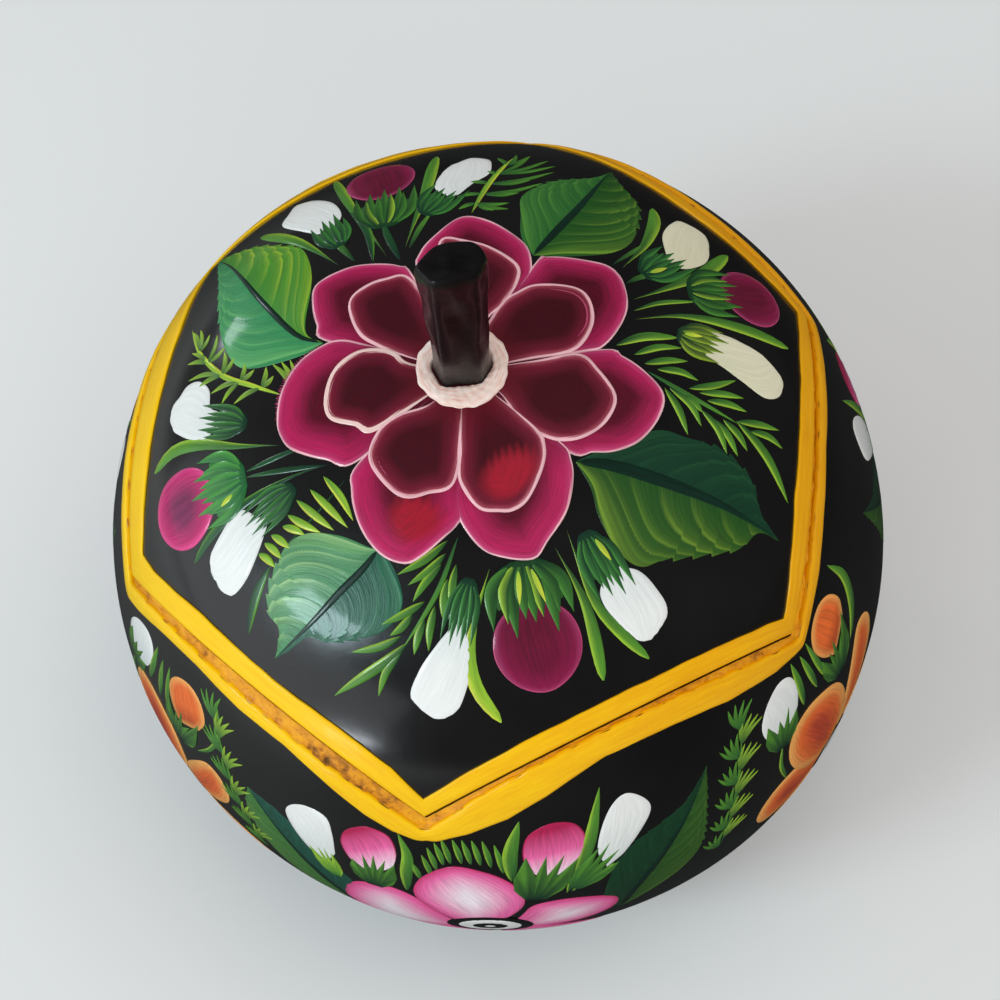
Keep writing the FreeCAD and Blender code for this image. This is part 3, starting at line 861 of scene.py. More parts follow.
class Painting:
    """Strokes laid one over another that dry into one piece of paint."""

    def __init__(self, plan):
        self.plan, self.parts, self.count = plan, [], 0

    def lay(self, edges, colours, rim=None, rim_width=0.0, level=0.03, thick=0.045, columns=7,
            round_rim=False, ridge=None, flow=None):
        """Lays a stroke: colours(across, along, depth) gives paint at each spot, where across and
        along are shares and depth is the distance from the rim in millimetres. It rises over its
        level by thick * (1 - e^(-depth / 0.5)), and by ridge(across, along). Its hairs run from
        foot to tip, or round beside its rim, or along flow(across, along)."""
        left, right = edges
        rows, width = len(left), np.hypot(*(right - left).T)
        tuck = np.clip(TUCK / np.maximum(width, 1e-6), 0, 0.2)[:, None]
        inner = tuck + (1 - 2 * tuck) * np.linspace(0, 1, columns - 1)
        across = np.concatenate([np.zeros((rows, 1)), inner, np.ones((rows, 1))], 1)
        spots = left[:, None] + across[..., None] * (right - left)[:, None]
        along = np.broadcast_to(np.linspace(0, 1, rows)[:, None], across.shape)
        depth, beside = to_rim(spots, np.concatenate([left, right[::-1]]))
        rise = level + thick * (1 - np.exp(-depth / FULL_PAINT))
        if ridge is not None:
            rise = rise + ridge(across, along)
        rise[:, [0, -1]] = rise[[0, -1]] = max(level - SUNK, DEEPEST)
        azimuth, down = self.plan(spots[..., 0], spots[..., 1])
        flat = skin(azimuth, down, rise).reshape(-1, 3)
        outward = flat - skin(azimuth, down, rise - 1).reshape(-1, 3)
        faces = stroke_faces(rows, columns)
        over = faces[:(rows - 1) * columns]
        facing = np.cross(flat[over[:, 2]] - flat[over[:, 0]], flat[over[:, 3]] - flat[over[:, 1]])
        if (facing * outward[over[:, 0]]).sum() < 0:
            faces = faces[:, ::-1]
        if round_rim:
            hairs = np.stack([depth, beside], -1)
        elif flow is not None:
            hairs = flow(across, along)
        else:
            length = np.hypot(*np.diff((left + right) / 2, axis=0).T).sum()
            hairs = np.stack([(across - 0.5) * width.mean(), along * length], -1)
        paint = colours(across, along, depth) + np.zeros((*across.shape, 3))
        edge_paint = paint if rim is None else np.broadcast_to(rim, paint.shape)
        reach = rim_width * np.clip((along - 0.15) / 0.3, 0, 1)
        self.parts.append((flat, faces + self.count, paint.reshape(-1, 3), edge_paint.reshape(-1, 3),
                           depth.ravel(), reach.ravel(),
                           (hairs + chance.uniform(0, 400, 2)).reshape(-1, 2)))
        self.count += len(flat)

    def dry(self, name, finish, body, slot="black_lacquer"):
        """Joins the strokes into one piece that rides on the lid or the bowl."""
        flat, faces, paint, edge_paint, depth, rim_width, hairs = (
            np.concatenate(part) for part in zip(*self.parts))
        piece = make_piece(name, flat, faces.tolist(), [finish], uv=hairs,
                           marks={"paint": paint, "rim paint": edge_paint, "depth": depth,
                                  "rim width": rim_width})
        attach(piece, body)
        return piece


print("strokes can be laid")

# %% Flower paints
def mixed(tree, share, one, other, way="MIX"):
    """Two of a material's colours mixed by a share."""
    return node(tree, "Mix", {0: share, 6: one, 7: other}, data_type="RGBA", blend_type=way).outputs[2]


def flower_paint(name, contrast, hairs, relief, bending=1.5):
    """Brushed paint: the stroke's own colours, a rim line where it has one, streaks along the
    hairs, and a thin gloss over all, duller where the paint bends light less."""
    material, tree = new_finish(name, Coat_Weight=0.4, Coat_Roughness=0.09, IOR=bending)
    streak = group(tree, BRUSH_STREAKS, Place=brush_place(tree), Hairs=hairs, Length=0.12)
    paint, rim_paint, depth, rim_width = (node(tree, "Attribute", attribute_name=mark).outputs for mark in
                                          ("paint", "rim paint", "depth", "rim width"))
    reach = calc(tree, "MULTIPLY", rim_width["Fac"], spread(tree, streak, 0.55, 1.3))
    on_rim = spread(tree, calc(tree, "SUBTRACT", reach, depth["Fac"]), start=-0.12, end=0.12)
    laid = mixed(tree, on_rim, paint["Color"], rim_paint["Color"])
    light = spread(tree, streak, 1 - contrast, 1 + contrast * 0.5)
    grey = node(tree, "CombineXYZ", {0: light, 1: light, 2: light}).outputs[0]
    return dress(material, Base_Color=mixed(tree, 1.0, laid, grey, "MULTIPLY"),
                 Roughness=spread(tree, streak, 0.42, 0.26), Normal=bump(tree, streak, relief, 0.0003))


PETAL_PAINT = flower_paint("petal paint", 0.28, 3.2, 0.1, 1.36)
HEART_PAINT = flower_paint("inner petal paint", 0.2, 3.0, 0.07, 1.36)
LEAF_PAINT = flower_paint("leaf paint", 0.3, 2.6, 0.14)
WHITE_PAINT = flower_paint("white paint", 0.08, 1.8, 0.25)
print("flower paints:", [paint.name for paint in (PETAL_PAINT, HEART_PAINT, LEAF_PAINT, WHITE_PAINT)])

# %% [markdown]
# ## The flower round the stalk
#
# Seven wide petals, and seven smaller ones over them. Each was filled with dark wine red from
# its foot, then with magenta towards its edge while the paint was wet, and edged with pale
# pink. The outer ones were laid first.

# %% Petals of the lid's flower
WINE, DEEP_WINE, BROWN_WINE, RED_WINE = map(tint, ("#5c0a22", "#490d19", "#7e1a34", "#641320"))
MAGENTA, ROSE, PALE_ROSE, CREAM_ROSE = map(tint, ("#b81c56", "#d04a7e", "#f4bcc2", "#f6d0c8"))
# The first red here is only a painted highlight on two petals; the second is paint.
HIGHLIGHT_RED, DUSK_ROSE = map(tint, ("#a8152c", "#b2505f"))
OUTER_PETALS = {
    "back left": [(-22.6, 13.2), (-24.6, 18), (-24.9, 23.5), (-23.6, 27.8), (-17.6, 29.6), (-12.4, 28.8),
                  (-7.6, 26.5), (-5.3, 22.9)],
    "back": [(-4.4, 23), (-3.6, 28.2), (0, 32.2), (5.6, 35.9), (10.6, 33.5), (14.7, 28.2), (16.4, 24.1),
             (15.9, 18.8), (14.1, 15.9)],
    "back right": [(16.4, 20.2), (19.4, 21.8), (25.9, 20.2), (30.3, 18.2), (32.1, 14.2), (31.2, 7.6),
                   (25.9, 1.2), (20.6, 0.2)],
    "front right": [(24.6, 0.4), (28.4, -1.4), (31.9, -5), (34.3, -9.7), (32.4, -14.1), (28.2, -17.9),
                    (23.5, -19.3), (19.4, -19), (14.1, -17.6)],
    "left": [(-15.3, 10), (-20.6, 13.1), (-24.7, 13), (-29.4, 11), (-33.2, 6.5), (-34.9, 1.2),
             (-34.7, -2.4), (-32.9, -5.8), (-27.1, -9.6), (-20.9, -11.4)],
    "front left": [(-20.6, -11.2), (-23.7, -16.5), (-23.4, -23.5), (-20.8, -29), (-16.8, -31.7),
                   (-13.5, -31.1), (-9.4, -29), (-6.2, -27), (-4.6, -24)],
    "front": [(-4.1, -17.6), (-6.3, -21.8), (-6, -26.5), (-3.6, -31.8), (0, -34.4), (5.3, -35.7),
              (8.4, -33), (12.5, -28.8), (14.8, -23.5), (15.2, -19.4), (13.6, -15.6)],
}
INNER_PETALS = {
    "back left": [(-8.2, 4.7), (-14.7, 9.7), (-17.4, 13.5), (-18.2, 20), (-15.9, 23.1), (-10.6, 24.3),
                  (-5.3, 21.5)],
    "back": [(0, 28.8), (6.2, 28.5), (10.6, 25.3), (13.8, 20.6), (12.9, 16.5), (9.4, 12.1), (5.9, 9.4)],
    "back right": [(8, 11.6), (12.6, 14.7), (16.5, 15.6), (22.9, 13.9), (25.1, 10.6), (24.4, 5.3),
                   (20, 0.6), (12, 0.2)],
    "front right": [(12, -0.2), (20.6, 0), (23.5, -3.5), (25.6, -9), (23.5, -13.1), (20, -15.5),
                    (15.9, -16.4), (11.8, -15.3), (7.6, -11.2), (5.3, -5.3)],
    "left": [(-8.8, 4.1), (-11.1, 7.2), (-14, 8.9), (-17.8, 9.6), (-21.7, 8.2), (-24.2, 5.2), (-25.6, 0.7),
             (-24.8, -2.6), (-20.9, -5), (-16.7, -7)],
    "front left": [(-6.5, -4.4), (-12.4, -5), (-16.3, -6.5), (-19.3, -10.6), (-18.8, -14.7),
                   (-15.3, -20), (-10.6, -20.8), (-4.7, -18.8)],
    "front": [(-4.1, -15.9), (-4.6, -20.5), (-2.4, -25.3), (1, -26.6), (3.5, -26.9), (6.5, -25.4),
              (10, -20.6), (11.3, -16.5), (10, -12.4)],
}
print("petals drawn:", list(OUTER_PETALS))

# %% Painting the flower
def outer_colour(across, along, depth, reach=1.0):
    """Wine at the foot and heart, magenta for a reach inside the edge, rose beside the rim."""
    body = blend(MAGENTA, WINE, (depth - reach) / 4.2)
    body = blend(ROSE, body, (depth - 0.2) / 1.0)
    return blend(WINE, body, (along - 0.3) / 0.3)


def inner_colour(across, along, depth):
    """Brown wine within, redder at the foot, and a soft dusk rose glow beside the rim."""
    body = blend(BROWN_WINE, DEEP_WINE, (depth - 0.8) / 3.2)
    body = blend(DUSK_ROSE, body, (depth - 0.4) / 0.9)
    return blend(RED_WINE, body, (along - 0.2) / 0.25)


def with_painted_highlight(colours, across_at, along_at, across_reach, along_reach):
    """The same paint with a painted highlight: a patch of bright blood red where the brushed paint catches
    the light, its upper edge in short hairs.
    """
    def highlighted(across, along, depth):
        hairs = 0.12 * np.sin(70 * across) * np.clip((along_at - along) / along_reach, 0, 1)
        gap = np.hypot((across - across_at) / across_reach, (along - along_at) / along_reach) + hairs
        # painted highlight: blood red where the brushed paint catches the light
        return blend(HIGHLIGHT_RED, colours(across, along, depth), (gap - 0.55) / 0.45)
    return highlighted


def outer_finish(name):
    """An outer petal's paint, rim colour and rim width. Three have a wider band of magenta inside the rim,
    and the front left one carries a painted highlight.
    """
    reach = 2.6 if name in ("left", "front left", "front") else 1.0

    def paint(across, along, depth):
        return outer_colour(across, along, depth, reach)

    return with_painted_highlight(paint, 0.66, 0.7, 0.3, 0.13) if name == "front left" else paint, PALE_ROSE, 0.36


def inner_finish(name):
    """An inner petal's paint, rim colour and rim width. The left one has a wider, creamier rim, and the
    front one carries a painted highlight.
    """
    paint = with_painted_highlight(inner_colour, 0.56, 0.7, 0.42, 0.16) if name == "front" else inner_colour
    return paint, *((CREAM_ROSE, 0.95) if name == "left" else (PALE_ROSE, 0.62))


def lay_petals(painting, petals, finish_of, level):
    """Petals out of the flower's middle, each 0.01 mm over the one before."""
    for k, (name, edge) in enumerate(petals.items()):
        painting.lay(form_edges([(0, 0)] + edge + [(0, 0)], 44), *finish_of(name),
                     level=level + 0.01 * k, columns=25, round_rim=True)


def shaded(foot, tip, side=None, reach=0.6):
    """Paint that turns from the foot's colour to the tip's, and to a third on one side."""
    def colours(across, along, depth):
        body = blend(foot, tip, along)
        return body if side is None else blend(body, side, (across - reach) / 0.35)
    return colours


def fringe(painting, inner, outer, count, width, foot, tip, level):
    """Short hairs side by side, each pulled from one line to another."""
    starts, ends = soft_line(inner, count), soft_line(outer, count)
    ends = ends + chance.normal(0, 0.12, ends.shape)
    for start, end in zip(starts, ends):
        painting.lay(blade_edges([start, end], width, 5, 0.3), shaded(foot, tip), level=level,
                     thick=0.01, columns=3)


flower, heart = Painting(lid_plan), Painting(lid_plan)
lay_petals(flower, OUTER_PETALS, outer_finish, 0.13)
fringe(flower, [(-24.8, 12.4), (-29, 10.4), (-32.6, 6.2), (-34.3, 1.2)],
       [(-24.9, 13.4), (-29.6, 11.6), (-34, 6.8), (-35.3, 1.2)], 40, 0.3, MAGENTA, ROSE, 0.17)
flower.lay(blade_edges([(-17.6, -21.4), (-17.4, -24.6), (-13.8, -27.2)], 0.34, 10),
           shaded(MAGENTA, PALE_ROSE), level=0.22, thick=0.02, columns=3)
flower.dry("lid_flower_outer_petals", PETAL_PAINT, "lid")
lay_petals(heart, INNER_PETALS, inner_finish, 0.23)
for spine in ([(-2.4, -13), (-3.3, -20), (-1.5, -24), (1.4, -25.5)],
              [(17.6, 14.2), (22, 12.6), (23.8, 9.9), (23.3, 6), (20.6, 2.8)],
              [(-14, -7.6), (-17.4, -11), (-17.2, -14.6), (-14.6, -18.4)]):
    heart.lay(blade_edges(spine, 0.42, 16), shaded(DUSK_ROSE, ROSE), level=0.32, thick=0.02, columns=3)
heart.dry("lid_flower_inner_petals", HEART_PAINT, "lid")
print("flower:", len(OUTER_PETALS), "outer and", len(INNER_PETALS), "inner petals")

# %% [markdown]
# ## Leaves, blades, buds and ferns
#
# A few habits of the brush make all the rest. A blade is one press and lift. A broad leaf is two
# dark halves with a row of lighter curved strokes pulled from its vein. A bud is one blob with
# sharp teeth over its foot: side by side strokes on the lid, a smooth toothed cup on the bowl. A
# fern is a thin stem with fans of tiny blades.

# %% The painter's habits
BOTTLE, FOREST, GRASS, LIME, LEMON = map(tint, ("#0e3626", "#245c2c", "#5c9a2c", "#a0c832", "#dde03c"))
WHITE, SHADE, ORANGE, AMBER, RUST = map(tint, ("#f0f0ec", "#d2dad6", "#f26f2a", "#fab05c", "#9c3014"))
PINK, PALE_PINK, ROUGE, CRIMSON = map(tint, ("#f66cac", "#fff0f8", "#d63a76", "#b81a50"))
CREAM, CREAM_SHADE, BRICK, PUPIL, SOOT = map(tint, ("#ece6c8", "#dcd8b4", "#c8482a", "#151313", "#171515"))
PLUM, DEEP_PLUM, BLACK_PLUM, PALE_PLUM = map(tint, ("#8c1846", "#701434", "#430818", "#a83a68"))
BRIGHT_PINK, CERISE, DARK_CERISE = map(tint, ("#ea4e92", "#c8226c", "#7c1c50"))


def blade(painting, spine, width, foot=FOREST, tip=GRASS, side=LIME, fullest=0.45, blunt=0.75,
          **more):
    """One press and lift of the brush, with a lighter edge on its left."""
    painting.lay(blade_edges(spine, width, 14, fullest, blunt), shaded(foot, tip, side), columns=5,
                 **more)


def fan(painting, start, ends, width=1.3, **more):
    """Small blades that spread from one place, as on a fern."""
    for end in ends:
        bow = (np.array(start) + end) / 2 + 0.08 * np.array([end[1] - start[1], start[0] - end[0]])
        blade(painting, [start, bow, end], width, **more)


ROWS_A_STROKE = 24
HAIR_SWEEP = 14                # mm of brush from the vein to a leaf's edge
LEAF_LEVEL, VEIN_LEVEL = 0.02, 0.065      # mm over the skin, and so are the next cell's levels


def broad_leaf(painting, vein, left, right, dark, light, strokes, vein_width=2.0):
    """Two halves between the vein and each edge. A brush loaded bright on one side was pulled
    from the vein and swung towards the tip, again and again. A line that leaves the vein at share
    a reaches the edge at (1 + a)/2, so a = (along - w)/(1 - w) with w = across^1.5 / 2. At share
    s through a stroke its brightness is 0.8 e^(-s/0.1) + 0.3 e^(-s/0.5), softly begun, and each
    stroke ends in a small lobe."""
    rows = ROWS_A_STROKE * strokes
    middle = soft_line(vein, rows + 1)
    length = np.hypot(*np.diff(middle, axis=0).T).sum()

    def stroke_place(across, along):
        swing = 0.5 * across ** 1.5
        start = (along - swing) / (1 - swing)
        return strokes * np.where(start < 0, 0.12 * start, start) + 1.4

    def ridge(across, along):
        return 0.02 * np.exp(-(stroke_place(across, along) % 1) / 0.12)

    def flow(across, along):
        return np.stack([stroke_place(across, along) * length / strokes, across * HAIR_SWEEP], -1)

    for edge, ground, bright in zip((left, right), map(tint, dark), map(tint, light)):
        line = soft_line([vein[0]] + edge + [vein[-1]], rows + 1)
        loads = chance.uniform(0.45, 0.95, strokes + 3)

        def colours(across, along, depth):
            place = stroke_place(across, along)
            share = place % 1
            glow = (0.8 * np.exp(-share / 0.1) + 0.3 * np.exp(-share / 0.5)) * np.clip(share / 0.1, 0, 1)
            fade = np.clip(across * 1.5, 0.1, 1) * np.clip((1.02 - along) * 5, 0.3, 1)
            return blend(ground, bright, glow * fade * loads[place.astype(int)])

        along = np.linspace(0, 1, rows + 1)
        lobe = 0.9 * (0.6 - stroke_place(1.0, along) % 1) * np.clip(4 * along * (1 - along), 0, 1)
        out = (line - middle) / np.maximum(np.hypot(*(line - middle).T), 1e-6)[:, None]
        painting.lay((middle, line + out * (lobe * (along > 0.5))[:, None]), colours,
                     level=LEAF_LEVEL, columns=40, thick=0.03, ridge=ridge, flow=flow)
    painting.lay(blade_edges(vein, vein_width, 22, 0.3, 0.5), shaded(BOTTLE * 0.6, BOTTLE),
                 level=VEIN_LEVEL, thick=0.02, columns=4)


print("habits: blade, fan, broad leaf")

# %% Calyxes and cups
CALYX_LEVEL, CUP_LEVEL = 0.12, 0.14


def toothed_fan(foot, tips):
    """The way from a cup's foot to the middle of its teeth, and each tooth's place beside it."""
    way, aside = tips.mean(0) - foot, tips - tips.mean(0)
    return way, aside - (aside @ way)[:, None] * way / (way @ way)


def calyx(painting, foot, teeth, dark=BOTTLE, light=GRASS, bright=None):
    """A blunt cup, then narrow side-loaded strokes pulled over it side by side, every other one
    shorter, that run out over the bud in sharp teeth."""
    foot, count = np.array(foot, float), 2 * len(teeth) - 1
    tips = soft_line(teeth, count)
    tips = tips + (0.12 - 0.18 * (np.arange(count) % 2))[:, None] * (tips - foot)
    way, aside = toothed_fan(foot, tips)
    cup = [soft_line([foot + up * way + out * edge for up, out in
                      ((0, 0.3), (0.12, 0.66), (0.4, 0.9), (0.68, 0.8))], 12)
           for edge in (aside[0], aside[-1])]
    painting.lay(cup, shaded(dark, blend(dark, light, 0.35)), level=CALYX_LEVEL, columns=7)
    width = 1.5 * np.hypot(*(aside[-1] - aside[0])) / (count - 1)
    for k, (tip, out) in enumerate(zip(tips, aside)):
        side = bright if bright is not None and k % 4 == 1 else light
        spine = [foot + 0.3 * out + 0.05 * way, foot + 0.4 * way + 0.85 * out, tip]
        painting.lay(blade_edges(spine, width, 14, 0.4, 0.8),
                     shaded(dark, blend(dark, light, 0.3 + 0.3 * (k * 0.62 % 1)), side, 0.5),
                     level=CALYX_LEVEL + 0.03 + 0.008 * (k % 2), thick=0.025, columns=5)


def toothed_cup(painting, foot, teeth, dark=BOTTLE, light=GRASS):
    """A smooth cup, as on the bowl: straight lines fan out from its foot to a top line that bulges
    at the sides and goes up and down every tooth. Each tooth is lighter on its left."""
    foot, tips = np.array(foot, float), np.array(teeth, float)
    way, aside = toothed_fan(foot, tips)
    sides = [[foot + up * way + out * edge for up, out in ((0.02, 0.4), (0.26, 0.95), (0.52, 1.14))]
             for edge in (aside[0], aside[-1])]
    top = sides[0] + [tips[0]]
    for before, after in zip(tips[:-1], tips[1:]):
        top += [foot + 0.6 * ((before + after) / 2 - foot), after]
    top = np.array(top + sides[1][::-1])
    steps = len(top) - 1
    places = np.linspace(0, steps, 6 * steps + 1)
    line = np.stack([np.interp(places, np.arange(steps + 1), top[:, k]) for k in (0, 1)], 1)
    start = foot + 0.35 * (aside[0] + (places / steps)[:, None] * (aside[-1] - aside[0]))
    reach = np.hypot(*way)

    def colours(across, along, depth):
        beside = ((along * steps) % 2) / 2
        stripe = np.exp(-((beside - 0.32) / 0.16) ** 2) * np.clip(across * 1.4 - 0.2, 0, 0.85)
        return blend(blend(dark, blend(dark, light, 0.45), across * 1.2), light, stripe)

    painting.lay((start, line), colours, level=CUP_LEVEL, columns=10,
                 flow=lambda across, along: np.stack([along * reach * 1.4, across * reach], -1))


print("habits: calyx, toothed cup")

# %% Buds
BUD_POINTS = 49                # round a bud, with its tip in the middle of them


def bud(painting, edge, colours, rim=None, rim_width=0.0, ragged=0.0, foot=None):
    """One blob of paint; its outline starts and ends at its foot. Where the brush left it at the
    tip, hairs pulled the edge out unevenly."""
    tip = BUD_POINTS // 2
    if foot is not None:
        start = np.array(edge[0], float)
        pull = (np.array(foot) - start) / np.hypot(*(np.array(foot) - start))
        edge = [tuple(start + 2.6 * pull)] + list(edge)
    line = soft_line(edge, BUD_POINTS)
    away = line - line[0]
    away /= np.maximum(np.hypot(*away.T), 1e-6)[:, None]
    pulled = np.convolve(chance.uniform(-0.7, 1, BUD_POINTS + 2), [0.3, 0.4, 0.3], "valid")
    pulled *= ragged * np.exp(-((np.arange(BUD_POINTS) - tip) / 9.0) ** 4)
    line = line + away * pulled[:, None]
    painting.lay((line[:tip + 1], line[:tip - 1:-1]), colours, rim, rim_width, level=0.05,
                 thick=0.06, columns=13)


def white_blob(across, along, depth):
    """White with a little grey left at its foot."""
    return blend(SHADE, WHITE, 0.35 + along)


def cream_blob(across, along, depth):
    """A creamier white, for the two buds on the right of the lid."""
    return blend(CREAM_SHADE, CREAM, 0.2 + along)


def wine_blob(across, along, depth):
    """Wine from a nearly black foot, paler beside its rim."""
    body = blend(PLUM, DEEP_PLUM, (depth - 1) / 3)
    body = blend(BLACK_PLUM, body, along / 0.5)
    return blend(PALE_PLUM, body, depth / 0.9)


def bright_blob(across, along, depth):
    """Bright pink beside the rim, plum in the middle."""
    return blend(BRIGHT_PINK, blend(CERISE, DARK_CERISE, (depth - 1.4) / 4), depth / 1.3)


print("habits: bud, in", len((white_blob, cream_blob, wine_blob, bright_blob)), "paints")

# %% [markdown]
# ## The wreath on the lid
#
# Round the flower go four broad leaves, eight white buds, four wine-coloured ones, long blades
# and five sprigs of fern. The leaves were painted first, then the ferns and blades, then the
# buds with their teeth on top.

# %% Broad leaves on the lid
LID_LEAVES = [                  # vein, both edges, dark halves, light halves, strokes, vein's width
    ([(-23.8, 13.5), (-28.8, 17.5), (-34.5, 28), (-38.8, 37.6), (-42.4, 45.3), (-48, 55)],
     [(-28.8, 12.4), (-37.6, 13.5), (-41.8, 16.5), (-44.1, 24.1), (-44.7, 32.9), (-45.3, 42.4)],
     [(-26.8, 17.6), (-24.7, 27.1), (-24.3, 33.5), (-25.9, 39.4), (-30, 42.6), (-35.3, 46.5),
      (-40.5, 49.5)],
     ("#2e8e54", "#3c8c24"), ("#90de80", "#e8f42c"), 8, 1.4),
    ([(16.8, 22.6), (23, 29), (30, 37), (38.2, 48.8)],
     [(15.6, 28), (16.6, 34), (18, 39.8), (24, 43.5), (32.9, 44.9)],
     [(20.5, 21.6), (29.4, 21.2), (35.3, 23.5), (38.6, 29), (40.3, 35.3), (38.8, 42.5)],
     ("#2c6c2c", "#1f561c"), ("#78b848", "#9cc83c"), 8, 1.8),
    ([(15.8, -20.1), (21.9, -21.7), (30.5, -25.6), (40.2, -30.7), (46.9, -34.9), (52.4, -38.4)],
     [(22.7, -18), (31.6, -16.2), (36.9, -18.1), (41.5, -19.9), (45.4, -23), (48.2, -27.4), (48.9, -33.1)],
     [(17.5, -25.3), (17.8, -30.3), (19.5, -35.6), (21.6, -39), (24.2, -40.3), (27.6, -39.7),
      (34.4, -39.8), (42.8, -39.3), (47.7, -36.6)],
     ("#123e28", "#22541c"), ("#2c6c3a", "#a8cc34"), 7, 2.6),
    ([(-21, -27.9), (-24.8, -30.7), (-29.4, -33.2), (-36.3, -37.1), (-45.5, -41.2)],
     [(-19.3, -30.7), (-18.4, -35.4), (-19.2, -38.9), (-22.2, -41.5), (-26.4, -42.3), (-33.7, -41.4),
      (-37.4, -39.3), (-41.9, -40.6)],
     [(-22.8, -26.9), (-27.2, -23.7), (-32.8, -21.5), (-37.2, -22.1), (-40.5, -25.3), (-42.9, -28.5),
      (-44.2, -32.8), (-42.9, -36), (-44.2, -39.1)],
     ("#185640", "#3c8450"), ("#50a06c", "#c8f098"), 7, 1.6),
]
leaves = Painting(lid_plan)
for vein, left, right, dark, light, strokes, vein_width in LID_LEAVES:
    broad_leaf(leaves, vein, left, right, dark, light, strokes, vein_width)
leaves.dry("lid_broad_leaves", LEAF_PAINT, "lid")
print("lid:", len(LID_LEAVES), "broad leaves")

# %% Blades and ferns on the lid
LID_BLADES = [                  # spine, width, and colours at the foot, the tip and on the left
    ([(-9.4, 29), (-15, 47), (-18.5, 62.9)], 2.2, FOREST, GRASS, LIME),
    ([(-18.6, 30.6), (-26, 41), (-35.4, 50.4)], 2.6, FOREST, GRASS, LIME),
    ([(-15.6, 30.5), (-19, 38), (-20.5, 43)], 1.6, BOTTLE, GRASS, None),
    ([(-6.2, 30), (0, 46), (3.9, 61.2)], 2.6, FOREST, GRASS, LIME),
    ([(-12.3, 29), (-12.5, 38), (-15.5, 46)], 1.8, BOTTLE, FOREST, GRASS),
    ([(-7.2, 27.6), (-8.6, 34), (-9.4, 40)], 1.6, BOTTLE, FOREST, None),
    ([(-5.3, 30), (-2.6, 35), (0.6, 39.5)], 1.2, BOTTLE, GRASS, None),
    ([(32.4, 17.6), (38.3, 23.4), (42.1, 30.1), (43.2, 35.3)], 2.7, BOTTLE, GRASS, LIME),
    ([(30.8, 18.6), (36, 22), (40.6, 25)], 1.0, BOTTLE, GRASS, None),
    ([(32.4, 10.2), (40.2, 12.8), (48.5, 16.6), (56.7, 23.7)], 2.9, BOTTLE, GRASS, LIME),
    ([(32.4, 14.1), (36, 15.6), (40.6, 16.2)], 1.3, BOTTLE, GRASS, None),
    ([(32.4, 7.9), (38, 9.4), (45.4, 9.6)], 1.1, BOTTLE, GRASS, LIME),
    ([(31.7, 6), (41.6, 6.3), (52.4, 4), (64.3, 0.9)], 2.5, BOTTLE, GRASS, LIME),
    ([(27.5, 0.9), (33.2, 2.2), (39.7, 1.6)], 1.9, BOTTLE, GRASS, LIME),
    ([(9.1, -33.8), (12.6, -45), (13.4, -59.1)], 2.4, BOTTLE, GRASS, LIME),
    ([(11.8, -31.2), (14.1, -44.1), (18, -51), (22.8, -56.7)], 2.2, BOTTLE, GRASS, LIME),
    ([(-2.4, -35.3), (-8.5, -47), (-9.4, -55), (-6.2, -62.8)], 2.6, GRASS, LIME, LEMON),
    ([(-34.8, -4), (-44, -0.6), (-51.6, 3.1), (-58.7, 4.9), (-65.3, 3.2)], 2.8, FOREST, GRASS, LIME),
    ([(-26.1, -10.5), (-34.3, -10.6), (-43.3, -12), (-51.6, -15), (-58.5, -19.1)], 2.0, BOTTLE, FOREST,
     GRASS),
    ([(-27, -10.6), (-36, -8.7), (-43, -7.4)], 1.2, BOTTLE, FOREST, None),
    ([(-30, -5.6), (-36, -5.9), (-42.8, -6.4)], 1.2, BOTTLE, FOREST, None),
    ([(-49.8, -35.5), (-45.7, -29.2), (-41.5, -25)], 1.99, BOTTLE, FOREST, GRASS),
    ([(3.4, -35.2), (3.2, -38), (3.5, -41)], 1.2, FOREST, GRASS, None),
]
FERNS = {                       # stem, colour, then each fan's foot and tips
    "left": ([(-32.9, 5.6), (-39, 10.4), (-44.7, 15.3), (-49.4, 23.5), (-51.6, 31.8)], LIME, [
        ((-49.4, 23.5), [(-51.4, 30.8), (-49, 29.6), (-46.6, 26.6)]),
        ((-47.6, 19.6), [(-52.6, 22.4), (-51.4, 24.6), (-44.8, 25.4), (-43.2, 21.4)]),
        ((-44.7, 15.3), [(-52.6, 18.2), (-50.8, 15), (-43.5, 20.4), (-41.6, 18)]),
        ((-41, 12.2), [(-47.6, 12.4), (-45.5, 9.2), (-39.6, 15.6), (-37.8, 13.4)]),
        ((-37, 9), [(-43, 8), (-35.4, 13), (-34.2, 10.4)]),
        ((-30.8, 4.6), [(-34.2, 13.2), (-32.4, 13), (-30.6, 12.6)])]),
    "back right": ([(7.6, 36.6), (12.6, 45.5), (19.6, 55.6)], GRASS, [
        ((17, 51.2), [(19.8, 56.4), (22.6, 55.4), (15.6, 55.2)]),
        ((14.6, 48), [(25.8, 52.6), (26.7, 49.8), (12.6, 49.6), (22.4, 55)]),
        ((12.6, 45), [(25.9, 47.2), (20.6, 44.6), (8.4, 46.6)]),
        ((10.8, 42), [(22.8, 43.2), (17.6, 40.8), (5.6, 42.2)]),
        ((9, 39.4), [(15.2, 38), (14.7, 36.2), (5.4, 38.4), (12, 36.4)])]),
}
